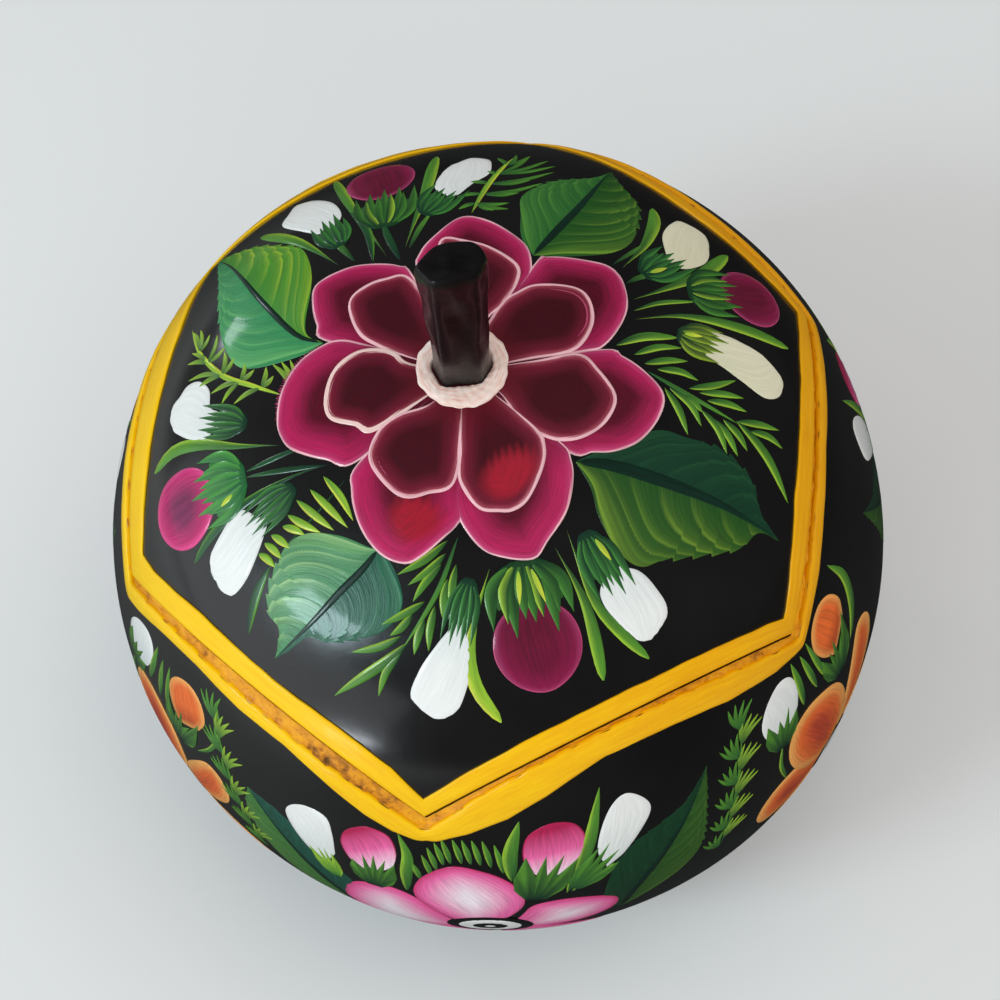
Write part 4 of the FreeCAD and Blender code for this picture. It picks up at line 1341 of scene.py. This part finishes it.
SPRIGS = {                      # stem, then each blade's foot, middle and tip
    "right": ([(32.1, -4.8), (37.4, -9), (43, -13.1), (47.4, -16.2)], [
        [(47, -15.4), (50.4, -19.7), (52.9, -24), (55.6, -31.4)],
        [(30.5, -1.3), (35.3, -0.2), (39.8, -0.6)],
        [(32, -3.3), (36.4, -3), (40.3, -3.4)], [(34.1, -4.6), (38.3, -5.4), (41.4, -7.4)],
        [(39.2, -8.8), (44, -8.5), (48.9, -7.5)], [(41, -9.7), (45.6, -10.2), (49.7, -11.1)],
        [(42.1, -11.3), (46.2, -12.2), (49.7, -13.8)], [(47, -15.6), (51.7, -16.2), (56.2, -17.2)],
        [(49.5, -17.5), (53.5, -18.6), (56.2, -20.8)], [(34.7, -8.3), (36.4, -12.7), (37.1, -17.7)],
        [(35.6, -8.4), (38.8, -11.9), (40, -16.3)], [(37.2, -10), (39.4, -11.4), (40.9, -13.7)],
        [(40.7, -13), (43.1, -17), (43.8, -21.8)], [(43, -15.1), (44.8, -18.3), (45.9, -22.3)],
        [(44.5, -15.1), (46.9, -18.2), (48.1, -21.4)]]),
    "front left": ([(-6.8, -29.2), (-11.3, -36.3), (-15.4, -40.9), (-20.9, -45.9)], [
        [(-19.4, -44.9), (-24, -47), (-28.1, -48.4), (-35.9, -50.7)],
        [(-8.7, -29.5), (-13.4, -31.8), (-18.7, -33.1)],
        [(-9.5, -31.6), (-13, -33.7), (-17.2, -35.3)], [(-10.6, -33.2), (-14.2, -35.7), (-17, -38.3)],
        [(-14.9, -38.8), (-19.1, -40), (-23.6, -40.8)], [(-17.6, -40.4), (-20, -42.1), (-22.4, -43)],
        [(-20.4, -43.6), (-24.9, -44.4), (-30.2, -44)], [(-8.1, -33.8), (-9.7, -37.5), (-10.9, -42)],
        [(-10.1, -35.9), (-11.5, -38.9), (-12.5, -42.3)], [(-13.3, -39.9), (-15.1, -43.6), (-16.2, -47.2)],
        [(-15.6, -41.6), (-17.4, -44.2), (-18.9, -47.2)], [(-21, -46.3), (-24.6, -48.8), (-27.4, -52.8)]]),
}
LEAF_COMB = [                   # short bright blades along a hidden stem
    [(-28.1, -12.3), (-25.8, -16.9), (-24.4, -21.8)], [(-31, -13.9), (-28.1, -18.6), (-25.6, -22.8)],
    [(-33.9, -15), (-31, -18.9), (-28.2, -22.5)], [(-36.1, -17.1), (-33.7, -19.6), (-30.7, -22.1)],
    [(-37.5, -18.8), (-35.4, -20.1), (-33.7, -21.6)], [(-40, -19.6), (-38.6, -21), (-37, -23.1)],
    [(-41.6, -20.6), (-40.2, -22.3), (-39, -24.4)], [(-43.2, -22.1), (-41.8, -23.5), (-40.6, -25.5)],
]
LONG_BLADE, SHORT_BLADE = (0.72, 1.5), (0.5, 0.8)      # share where it is fullest, and how blunt
greens = Painting(lid_plan)
for spine, width, foot, tip, side in LID_BLADES:
    blade(greens, spine, width, foot, tip, side, *(LONG_BLADE if width >= 2 else SHORT_BLADE), level=0.06)
for stem, spines in SPRIGS.values():
    blade(greens, stem, 1.0, FOREST, GRASS, None, level=0.08)
    for k, spine in enumerate(spines):
        blade(greens, spine, 2.0 if k == 0 else 1.5, FOREST * 0.7, GRASS, LIME, level=0.09)
for stem, bright, fans in FERNS.values():
    blade(greens, stem, 1.2, bright, LIME, LEMON, level=0.08)
    for foot, tips in fans:
        fan(greens, foot, tips, 1.15, foot=FOREST, tip=bright, side=None, level=0.08)
for spine in LEAF_COMB:
    blade(greens, spine, 1.5, GRASS, LIME, LEMON, level=0.1)
blade(greens, [(-24, -14), (-31, -18.8), (-38, -22.6)], 0.5, BOTTLE, FOREST, None, level=0.08)
greens.dry("lid_blades_and_ferns", LEAF_PAINT, "lid")
print("lid:", len(LID_BLADES), "long blades,", len(FERNS) + len(SPRIGS) + 1, "sprigs of fern")

# %% Buds on the lid
WHITE_BUDS = {                  # blob, then the calyx: foot and teeth
    "back left": ([(-20.6, 41.4), (-22.9, 42), (-29.4, 48.7), (-29.1, 52.7), (-26.6, 56.8), (-22.4, 54.6),
                   (-18.6, 50.6), (-17, 45.4), (-18.7, 41.9)],
                  (-17.9, 35.8), [(-23, 43), (-21.1, 44.4), (-19.1, 45.6), (-16.9, 43.4)]),
    "back right": ([(4.2, 42.4), (1.8, 46.4), (3.6, 51), (6.2, 54.2), (10, 56.2), (13.8, 54.4), (13.2, 49),
                    (9.4, 46), (6.2, 43)],
                   (-1.4, 38.6), [(2, 47), (3.8, 44.8), (5.6, 43.6), (7.4, 43.2)]),
    "right back": ([(41.8, 19.4), (42.6, 26), (45.3, 30), (48.4, 31.7), (52.6, 28.4), (52, 23.2),
                    (50, 19.6), (46, 17.6), (43, 17.8)],
                   (36, 16), [(41.4, 22.6), (43.4, 21), (45.4, 19.4), (46.6, 17.8)]),
    "right": ([(44, -2.4), (44.2, 2.6), (48, 2.4), (52.9, 0.2), (57.4, -3), (59.4, -6.2), (58.2, -10),
               (54.4, -10.9), (50.2, -7.8), (46.4, -4.4)],
              (39.6, 2.6), [(47.8, 2.4), (48.6, 0.8), (47.4, -1.2), (45.6, -3.4)]),
    "front right": ([(16.8, -40.2), (15.4, -44), (17.2, -48.4), (21, -52.6), (24, -52.4), (27.2, -48.4),
                     (25.6, -44), (23.2, -40.8), (20, -39.6)],
                    (14.8, -32.6), [(15.4, -44), (17.2, -43.4), (19.4, -43.6), (21.4, -42.4)]),
    "front left": ([(-10.4, -43.2), (-14.6, -46.4), (-18.9, -50.2), (-21.4, -54.6), (-17.4, -59),
                    (-13.4, -58), (-10.2, -53.4), (-8.6, -48.4), (-9, -44)],
                   (-6.3, -36.6), [(-13, -44.8), (-11.8, -46.4), (-10.2, -47.2), (-8.6, -47)]),
    "left front": ([(-41.6, -15.6), (-45.4, -12.9), (-50.4, -16), (-54, -19.8), (-53.4, -25),
                    (-50.4, -27.4), (-46.6, -25.6), (-43, -21.6), (-40.2, -17.4)],
                   (-33.8, -12.4), [(-44.2, -14.2), (-43.8, -16.2), (-42.8, -18.2), (-41.2, -18.8)]),
    "left back": ([(-48, 9.6), (-47.8, 13.6), (-50.4, 16.9), (-54.2, 16.5), (-58, 13), (-57.8, 9.8),
                   (-55, 6.2), (-50.8, 3.6), (-47, 4.6)],
                  (-41, 2.6), [(-49, 10), (-50.2, 7.8), (-50.6, 5.6), (-49.6, 4)]),
}
WINE_BUDS = {                   # middle, radius, then the calyx: foot and teeth
    "back": ((-8.5, 54), 7.2,
             (-9, 37.6), [(-13.3, 47.6), (-10.3, 48.4), (-7.6, 48.6), (-4.9, 48.2), (-2.6, 47.8)]),
    "right": ((58, 12), 6.9,
              (44, 12.2), [(53.6, 16.6), (54.4, 14), (53, 11.6), (54, 9.2), (52.4, 7)]),
    "front": ((2.9, -50.4), 8,
              (3.3, -35.4), [(-3.4, -45.4), (0, -47.4), (3.4, -45.4), (6.6, -47.6), (9.6, -44.8)]),
    "left": ((-57.9, -7.6), 8,
             (-42.8, -7.2), [(-51.8, -1.2), (-53.4, -4.4), (-54.4, -7.2), (-53.6, -10), (-52, -13.2)]),
}
BUD_STALKS = [((16.4, -34), (18.6, -38.4)), ((2.2, -37), (1.2, -43)), ((4.4, -37), (5.8, -43.4)),
              ((-46, -9.6), (-49, -11)), ((37.6, 16.4), (41.4, 17.6)), ((40.8, 2.4), (44.4, 1.6))]
WHITE_CALYX, WARM_CALYX = map(tint, ("#438a36", "#8fac26"))
WINE_CALYX = (tint("#123c20"), tint("#4a8a2e"), LIME)
COOL_CALYX = (tint("#1c6434"), tint("#58aa48"))


def blob_edge(middle, radius, lumps):
    """A round bud's outline, from the side that looks at the stalk, wavy three times round."""
    way = math.atan2(middle[1], middle[0]) + math.pi + np.linspace(0, 2 * np.pi, 13)
    return np.stack([middle[0] + radius * np.cos(way),
                     middle[1] + radius * (1 + lumps * np.sin(3 * way)) * np.sin(way)], 1)


white_buds, wine_buds, teeth = Painting(lid_plan), Painting(lid_plan), Painting(lid_plan)
for name, (edge, foot, _) in WHITE_BUDS.items():
    bud(white_buds, edge, cream_blob if name in ("right", "right back") else white_blob, ragged=0.7,
        foot=foot)
white_buds.dry("lid_white_buds", WHITE_PAINT, "lid")
for name, (middle, radius, _, _) in WINE_BUDS.items():
    bud(wine_buds, blob_edge(middle, radius, 0.03), bright_blob if name == "left" else wine_blob, ROSE, 0.2)
wine_buds.dry("lid_wine_buds", PETAL_PAINT, "lid")
for name, (_, foot, tips) in WHITE_BUDS.items():
    calyx(teeth, foot, tips, light=WARM_CALYX if name == "right" else WHITE_CALYX)
for name, (_, _, foot, tips) in WINE_BUDS.items():
    calyx(teeth, foot, tips, *(COOL_CALYX if name == "left" else WINE_CALYX))
for foot, tip in BUD_STALKS:
    blade(teeth, [foot, tip], 1.1, LIME, LEMON, None, level=0.2)
teeth.dry("lid_bud_teeth", LEAF_PAINT, "lid")
print("lid:", len(WHITE_BUDS), "white buds and", len(WINE_BUDS), "wine-coloured ones")

# %% [markdown]
# ## The panels of the bowl
#
# Below each side of the cut sits one big flower, pink and orange by turns, with a bull's-eye
# heart at the belly. Buds and blades stand up from it to the yellow band, a broad leaf leans out
# on each side of a pink one, and a fern stands beside an orange one. The back follows the same
# order.

# %% The bowl's flowers and what lies round them
def pink_petal(across, along, depth):
    """Rouge at the rim, pink within, and nearly white towards the heart of the flower."""
    body = blend(PINK, PALE_PINK, (depth - 2.2) / 7.5)
    return blend(ROUGE, body, (depth + 1.2 - along * 1.5) / 2.1)


def pink_blob(across, along, depth):
    """Nearly white at its foot, then pink, and crimson at its tip."""
    return blend(blend(PALE_PINK, PINK, along / 0.45), CRIMSON, (along - 0.4) / 0.4)


def orange_petal(across, along, depth):
    """A pale orange rim round a redder middle."""
    return blend(AMBER, blend(ORANGE, BRICK, (depth - 3.4) / 4), (depth - 0.7) / 2.4)


def orange_blob(across, along, depth):
    """Rust at its foot, then orange, with a pale rim."""
    return blend(AMBER, blend(RUST, ORANGE, along / 0.4), depth / 1.8)


def eye(painting, middle, radius):
    """The bull's-eye: rings of black, white and black, each a round blob on the last."""
    way = np.linspace(0, 2 * np.pi, 13)
    for k, (share, colour) in enumerate(((1.0, PUPIL), (0.74, WHITE), (0.42, SOOT), (0.14, WHITE))):
        edge = np.array(middle) + radius * share * np.stack([np.cos(way), np.sin(way)], 1)
        painting.lay(form_edges(edge, 14), lambda across, along, depth: colour,
                     level=0.15 + 0.03 * k, columns=11)


class Panel:
    """One side of the bowl seen flat, mirrored or not, with its three paintings."""

    def __init__(self, middle, flip=False):
        plan = bowl_plan(middle)
        self.flip = flip
        self.petals, self.green, self.buds = Painting(plan), Painting(plan), Painting(plan)

    def place(self, points):
        """The points as they are, or mirrored from left to right."""
        return [(-x, y) for x, y in points] if self.flip else points

    def petal(self, edge, colours, level, *rim):
        """One petal of the flower, with a rim colour and width where it has them."""
        self.petals.lay(form_edges(self.place(edge), 26), colours, *rim, level=level, columns=15)

    def blades(self, table):
        """Blades from rows of a spine and a width."""
        for spine, width in table:
            blade(self.green, self.place(spine), width, FOREST, GRASS, LIME, level=0.07)

    def cups(self, table):
        """Toothed cups from rows of a foot, teeth and perhaps two colours."""
        for foot, teeth, *colours in table:
            toothed_cup(self.green, *self.place([foot]), self.place(teeth), *colours)

    def dry(self, tag):
        """Three pieces on the bowl."""
        self.petals.dry(f"bowl_flower_{tag}", PETAL_PAINT, "bowl")
        self.green.dry(f"bowl_greens_{tag}", LEAF_PAINT, "bowl")
        self.buds.dry(f"bowl_white_buds_{tag}", WHITE_PAINT, "bowl")


print("bowl: petal and bud paints, the bull's-eye and the panel defined")

# %% Pink panels
PINK_LEAVES = [                 # vein, both edges, dark halves, light halves
    ([(27, 136), (31, 122), (41.5, 101), (46, 90)],
     [(23.5, 128), (25.6, 112), (29.6, 103), (36, 99), (41, 96.5)],
     [(33, 131), (41, 123), (45, 115), (46, 101)],
     ("#123f24", "#2c5a1e"), ("#1f5a34", "#6a9030")),
    ([(-27.5, 140), (-31, 128), (-38, 112), (-45.5, 97)],
     [(-23.5, 133), (-24.6, 120), (-31, 108), (-38, 99.5)],
     [(-33, 138), (-42, 130), (-46.5, 117), (-47.5, 105)],
     ("#17503f", "#3f7a34"), ("#2e7a64", "#8ab060")),
]
PINK_BLADES = [([(-14, 114.5), (-13.2, 106), (-12.2, 98), (-13.2, 90.6)], 2.6),
               ([(-10.6, 107.4), (-11, 104), (-11.6, 100.6)], 1.4),
               ([(6.8, 107), (7.2, 96), (9.4, 85.6)], 3.0),
               ([(16.8, 116), (21.6, 98), (23.4, 87), (24.3, 81)], 2.9),
               ([(17.8, 115.4), (22, 111), (26.6, 107)], 1.6)]
COMB = [(-9.4, 97, 105.4), (-8.1, 94, 102.8), (-6.6, 92, 100.6), (-5.2, 90.6, 99.8), (-3.1, 90.6, 99.6),
        (-1.4, 90.6, 99.8), (0.4, 90.6, 100.2), (2.3, 90.8, 101.2), (4.4, 92.2, 103.6)]      # x, top, foot
PINK_PETALS = [                 # edge, level, and a rim where it has one
    ([(-4, 137), (-9, 126), (-12.4, 118), (-17.5, 114.2), (-23.6, 116), (-27.4, 121), (-29.2, 128),
      (-30, 136), (-28.6, 144), (-24, 149), (-17, 149), (-9, 144)], 0.03),
    ([(4, 136), (7.6, 126), (10, 120.6), (15, 119), (21, 120.6), (26, 124.6), (26.6, 130), (24, 136),
      (18, 140.4), (9, 141)], 0.045),
    ([(-5, 139), (-15, 146), (-21, 152), (-20, 161), (-11, 166), (-3, 161), (0, 150)], 0.06),
    ([(5, 139), (14, 143), (21, 149), (22, 158), (13, 164), (4, 160), (1, 150)], 0.075),
    ([(0, 134), (-6, 130.6), (-10.4, 123), (-12.7, 116.4), (-11.9, 110), (-9, 104.6), (-3.8, 100.5),
      (1.8, 102.4), (6, 106.6), (8.6, 113), (8.2, 120), (5, 127)], 0.1, ROUGE, 0.3),
]
PINK_BUDS = [[(-20, 110), (-24, 106), (-25.4, 100), (-24, 95), (-21, 92), (-18.4, 91), (-15, 92.6),
              (-14.2, 98), (-15.4, 104)],
             [(13, 108), (10, 102), (9.4, 96), (10.8, 90.4), (15, 87.8), (19.4, 89.4), (21.4, 94.6),
              (20.6, 100.4), (17, 106)]]
WHITES_BESIDE = [[(-30, 112), (-34, 107), (-36.6, 99), (-35.6, 94.6), (-31.6, 91.6), (-27.4, 92.4),
                  (-26.8, 98), (-27.4, 106)],
                 [(25, 108), (23.4, 101), (24.2, 93.6), (26.4, 87.4), (29.4, 85.6), (33, 89.4),
                  (34, 93.6), (31.4, 99.4), (28, 105)]]
PINK_CUPS = [                   # foot, teeth, and colours where they aren't the usual ones
    ((-20.6, 115.6), [(-23.8, 105), (-21.3, 101.6), (-19, 100.6), (-16.8, 101.8), (-15.2, 103)]),
    ((10.6, 117), [(10, 97.6), (13.8, 98), (17.2, 98.6), (19.6, 101)]),
    ((-28.6, 117.6), [(-33, 106.4), (-31, 105.4), (-29.6, 104.8), (-28.2, 106)],
     tint("#3c8c2c"), tint("#b4d83c")),
    ((18.2, 114), [(23.6, 99.4), (25.8, 98.6), (27.6, 102), (27.4, 107)], FOREST, GRASS),
]


def pink_panel(middle, tag, flip=False):
    """One pink flower with its leaves, buds, comb and blades."""
    panel = Panel(middle, flip)
    for vein, left, right, dark, light in PINK_LEAVES:
        broad_leaf(panel.green, *map(panel.place, (vein, left, right)), dark, light, 9)
    panel.blades(PINK_BLADES)
    for x, top, foot in COMB:
        spine = panel.place([(x + 1.1, foot), (x + 0.7, (top + foot) / 2), (x, top)])
        blade(panel.green, spine, 1.35, FOREST, GRASS, LIME)
    for edge, level, *rim in PINK_PETALS:
        panel.petal(edge, pink_petal, level, *rim)
    eye(panel.petals, (0.4, 135.6), 8.8)
    for edge in PINK_BUDS:
        bud(panel.petals, panel.place(edge), pink_blob, CRIMSON, 0.3)
    for edge in WHITES_BESIDE:
        bud(panel.buds, panel.place(edge), white_blob)
    panel.cups(PINK_CUPS)
    panel.dry(tag)


print("pink panel:", len(PINK_PETALS), "petals,", len(PINK_CUPS), "buds")

# %% Orange panels
ORANGE_PETALS = [
    [(-2, 132), (-8, 124), (-12, 118.6), (-18, 117.4), (-23, 120), (-25.6, 126), (-23, 133), (-15, 137),
     (-8, 136)],
    [(1, 130), (3.6, 118), (7, 110), (11.6, 103), (15.4, 103.4), (17.8, 108), (17, 115), (12, 123),
     (6, 129)],
    [(2, 133), (12, 129), (20, 131), (23, 138), (19, 146), (10, 146), (4, 140)],
    [(-3, 137), (-12, 140), (-18, 147), (-16, 156), (-8, 158), (-1, 151)],
    [(1, 137), (8, 144), (12, 152), (8, 160), (0, 160), (-2, 150)],
    [(-2, 131), (-9, 127), (-13.6, 120), (-15.4, 113), (-14.8, 107), (-12, 102.6), (-7.4, 101), (-3, 102.4),
     (1, 105.6), (3.2, 111), (3.6, 119), (1, 127)],
]
ORANGE_BUD = [(3.6, 98), (0.4, 94), (-0.8, 89), (1, 84.6), (5, 82.4), (8.6, 84), (10.6, 88.4), (9.4, 93)]
WHITE_BESIDE = [(-15, 102), (-18, 98), (-18.2, 93), (-15.4, 88.6), (-11, 86), (-8, 87.4), (-7.6, 92),
                (-9.4, 97)]
ORANGE_BLADES = [([(-8, 99), (-7, 92), (-6.4, 84.8)], 1.9), ([(-3.6, 99), (-3.8, 92), (-4, 85.8)], 1.7),
                 ([(-0.4, 101), (-1.2, 93), (-1.6, 84.8)], 1.6)]
OUTER_BLADE = [(9, 102), (13, 95), (14.4, 87), (12, 79.4)]
LOW_BLADE = [(-17, 118), (-17.6, 110), (-15.8, 103)]
ORANGE_CUPS = [((-16, 104), [(-17, 93.6), (-14.2, 95), (-11.2, 94), (-9.8, 97)]),
               ((3.3, 105), [(-0.4, 94), (2.2, 95.4), (4, 93), (6.8, 95.6), (9.2, 91)])]
FERN_STEMS = {"left": [(-35, 124), (-31, 112), (-26, 99), (-21.5, 88)],
              "right": [(26, 126), (22.4, 112), (19, 100.5), (16, 91.5), (12.8, 84.4)]}
FERN_SPOTS, NEEDLE = 11, 7.6


def bowl_fern(panel, stem):
    """A stem with fans of needles at even spots, left and right by turns: each needle points along
    the stem plus a lean times the side way, and one that leans far is a little shorter."""
    fern = soft_line(panel.place(stem), FERN_SPOTS)
    blade(panel.green, fern, 0.9, FOREST, GRASS, None, level=0.08)
    for k, spot in enumerate(fern):
        way = fern[min(k + 1, FERN_SPOTS - 1)] - fern[max(k - 1, 0)]
        way /= np.hypot(*way)
        side = np.array([-way[1], way[0]]) * (1 if k % 2 else -1)
        for lean in ((-0.4, -0.12, 0.15, 0.42) if k == FERN_SPOTS - 1 else (0.12, 0.36, 0.68, 1.1)):
            out = way + side * lean
            end = spot + out / np.hypot(*out) * (NEEDLE - 0.8 * abs(lean))
            fan(panel.green, spot, [end], 1.0, foot=FOREST, tip=LIME if k % 2 else GRASS, side=None,
                level=0.09)


def orange_panel(middle, tag, fern_side):
    """One orange flower with its white bud, stripes, orange bud and a fern beside it."""
    panel = Panel(middle)
    for k, edge in enumerate(ORANGE_PETALS):
        panel.petal(edge, orange_petal, 0.03 + 0.014 * k)
    eye(panel.petals, *panel.place([(-0.6, 135.6)]), 6.6)
    bud(panel.petals, panel.place(ORANGE_BUD), orange_blob)
    bud(panel.buds, panel.place(WHITE_BESIDE), white_blob)
    panel.blades([*ORANGE_BLADES, (OUTER_BLADE, 2.6 if fern_side == "left" else 1.2), (LOW_BLADE, 1.2)])
    panel.cups(ORANGE_CUPS)
    bowl_fern(panel, FERN_STEMS[fern_side])
    panel.dry(tag)


print("orange panel:", len(ORANGE_PETALS), "petals and a fern of", FERN_SPOTS, "fans")

# %% The six panels
pink_panel(-13, "front")
orange_panel(47, "right_front", "left")
orange_panel(-65, "left_front", "right")
pink_panel(106, "right_back", True)
orange_panel(168, "back", "left")
pink_panel(-129, "left_back")
print("bowl: six panels painted")

# %% [markdown]
# ## The studio
#
# A pale floor, two wide soft cloths overhead and in front, and three windows in a bright wall to
# the left. The lacquer is a mirror, so the wall and windows are what gives it its blue sheen on
# that side, and the rest of the room, which was dark, keeps it black elsewhere. The camera stands
# in front, high above the lid and close, and is tipped a little.

# %% Studio and camera
EYE = np.array([0.0, -159.4, 445.5]) * MM
CAMERA_RISE, CAMERA_TIP = 1.1675025, -0.206739     # radians above level, radians of roll
LENS, PRINCIPAL_X, PRINCIPAL_Y, FRAME_PIXELS = 68.41, 500.13, 545.53, 1000
DAYLIGHT, SKYLIGHT, WARM_CLOTH, PALE_CLOTH = ((0.72, 0.92, 1.0), (0.85, 0.92, 1.0), (1.0, 0.98, 0.95),
                                              (1.0, 0.98, 0.96))
LIGHTS = [      # name, direction, distance, width, height (metres), power, colour, seen in the lacquer
    ("left front window", (-0.675, -0.252, 0.69), 1.1, 0.26, 0.22, 3.2, DAYLIGHT, True),
    ("left back window", (-0.582, 0.761, 0.287), 1.25, 0.13, 0.15, 0.7, SKYLIGHT, True),
    ("low front window", (-0.7, -0.71, 0.07), 1.1, 0.2, 0.07, 0.6, SKYLIGHT, True),
    ("bright wall", (-0.9, -0.2, 0.3), 1.3, 2.1, 0.9, 4.5, (0.9, 0.95, 1.0), True),
    ("overhead cloth", (0.35, -0.1, 1.0), 1.5, 1.4, 1.4, 8, WARM_CLOTH, False),
    ("front cloth", (0.1, -1.0, 0.05), 1.4, 1.6, 0.8, 4.5, PALE_CLOTH, False),
]
LIT_PLACE = np.array([0, 0, 0.12])      # metres: what every light looks at
FLOOR_REACH = 4.0


def stand(name, data, across, up, back, place):
    """A camera or lamp that stands at a place, looking away from `back`."""
    thing = bpy.data.objects.new(name, data)
    matrix = np.eye(4)
    matrix[:3] = np.column_stack([across, up, back, place])
    thing.matrix_world = Matrix(matrix.tolist())
    bpy.context.collection.objects.link(thing)
    return thing


def photo_camera():
    """The camera that the outline and the cut's corners were fitted with."""
    across = np.array([1.0, 0.0, 0.0])
    up = np.array([0.0, math.sin(CAMERA_RISE), math.cos(CAMERA_RISE)])
    back = np.array([0.0, -math.cos(CAMERA_RISE), math.sin(CAMERA_RISE)])
    turn, lean = math.cos(CAMERA_TIP), math.sin(CAMERA_TIP)
    data = bpy.data.cameras.new("photo camera")
    data.lens, data.sensor_width, data.clip_start = LENS, 36.0, 0.01
    data.shift_x = (FRAME_PIXELS / 2 - PRINCIPAL_X) / FRAME_PIXELS
    data.shift_y = (PRINCIPAL_Y - FRAME_PIXELS / 2) / FRAME_PIXELS
    bpy.context.scene.camera = stand("photo camera", data, across * turn + up * lean,
                                     up * turn - across * lean, back, EYE)


def soft_light(name, direction, distance, width, height, power, colour, in_lacquer):
    """A rectangle of light that looks at the lid from a direction."""
    data = bpy.data.lights.new(name, "AREA")
    data.shape, data.size, data.size_y = "RECTANGLE", width, height
    data.energy, data.color = power, colour
    back = np.array(direction, float) / np.linalg.norm(direction)
    across = np.cross([0, 0, 1.0], back)
    across /= np.linalg.norm(across)
    lamp = stand(name, data, across, np.cross(back, across), back, LIT_PLACE + back * distance)
    lamp.visible_glossy = in_lacquer


def pale_floor():
    """A pale floor with the faintest clouds. Only where the lacquer mirrors it is it painted dark, more so
    to the right, as painted shade of a dark room.
    """
    reach = FLOOR_REACH
    mesh = bpy.data.meshes.new("floor")
    mesh.from_pydata([(-reach, -reach, 0), (reach, -reach, 0), (reach, reach, 0), (-reach, reach, 0)],
                     [], [(0, 1, 2, 3)])
    material, tree = new_finish("pale floor", Roughness=0.9)
    place = solid_place(tree)
    pale = ramp(tree, noise(tree, place, 3.0), [(0.3, "#e6e6e4"), (0.7, "#eaeae8")])
    # painted shade: the floor turns dark only in reflections, and more so to the right
    unlit = spread(tree, node(tree, "SeparateXYZ", {0: place}).outputs[0], 0.3, start=-0.75, end=-0.08)
    dark = calc(tree, "MULTIPLY", node(tree, "LightPath").outputs["Is Glossy Ray"], unlit)
    mesh.materials.append(dress(material, Base_Color=mixed(tree, dark, pale, opaque("#2c2d2c"))))
    floor = bpy.data.objects.new("floor", mesh)
    bpy.context.collection.objects.link(floor)


def room():
    """An even grey room, darker in the lacquer, with a nearly white backdrop for the camera alone."""
    world = bpy.data.worlds.new("room")
    bpy.context.scene.world = world
    world.use_nodes = True
    tree = world.node_tree
    ground = tree.nodes["Background"]
    ground.inputs["Color"].default_value = (0.96, 0.98, 1.0, 1.0)
    path = node(tree, "LightPath").outputs
    strength = spread(tree, path["Is Glossy Ray"], 0.47, 0.05)
    seen = calc(tree, "MULTIPLY_ADD", path["Is Camera Ray"], 0.4, strength)
    link(tree, seen, ground.inputs["Strength"])


photo_camera()
for light in LIGHTS:
    soft_light(*light)
pale_floor()
room()
bpy.context.scene.view_settings.view_transform = "Standard"
print("studio set with", len(LIGHTS), "lights, camera at", EYE.round(3))
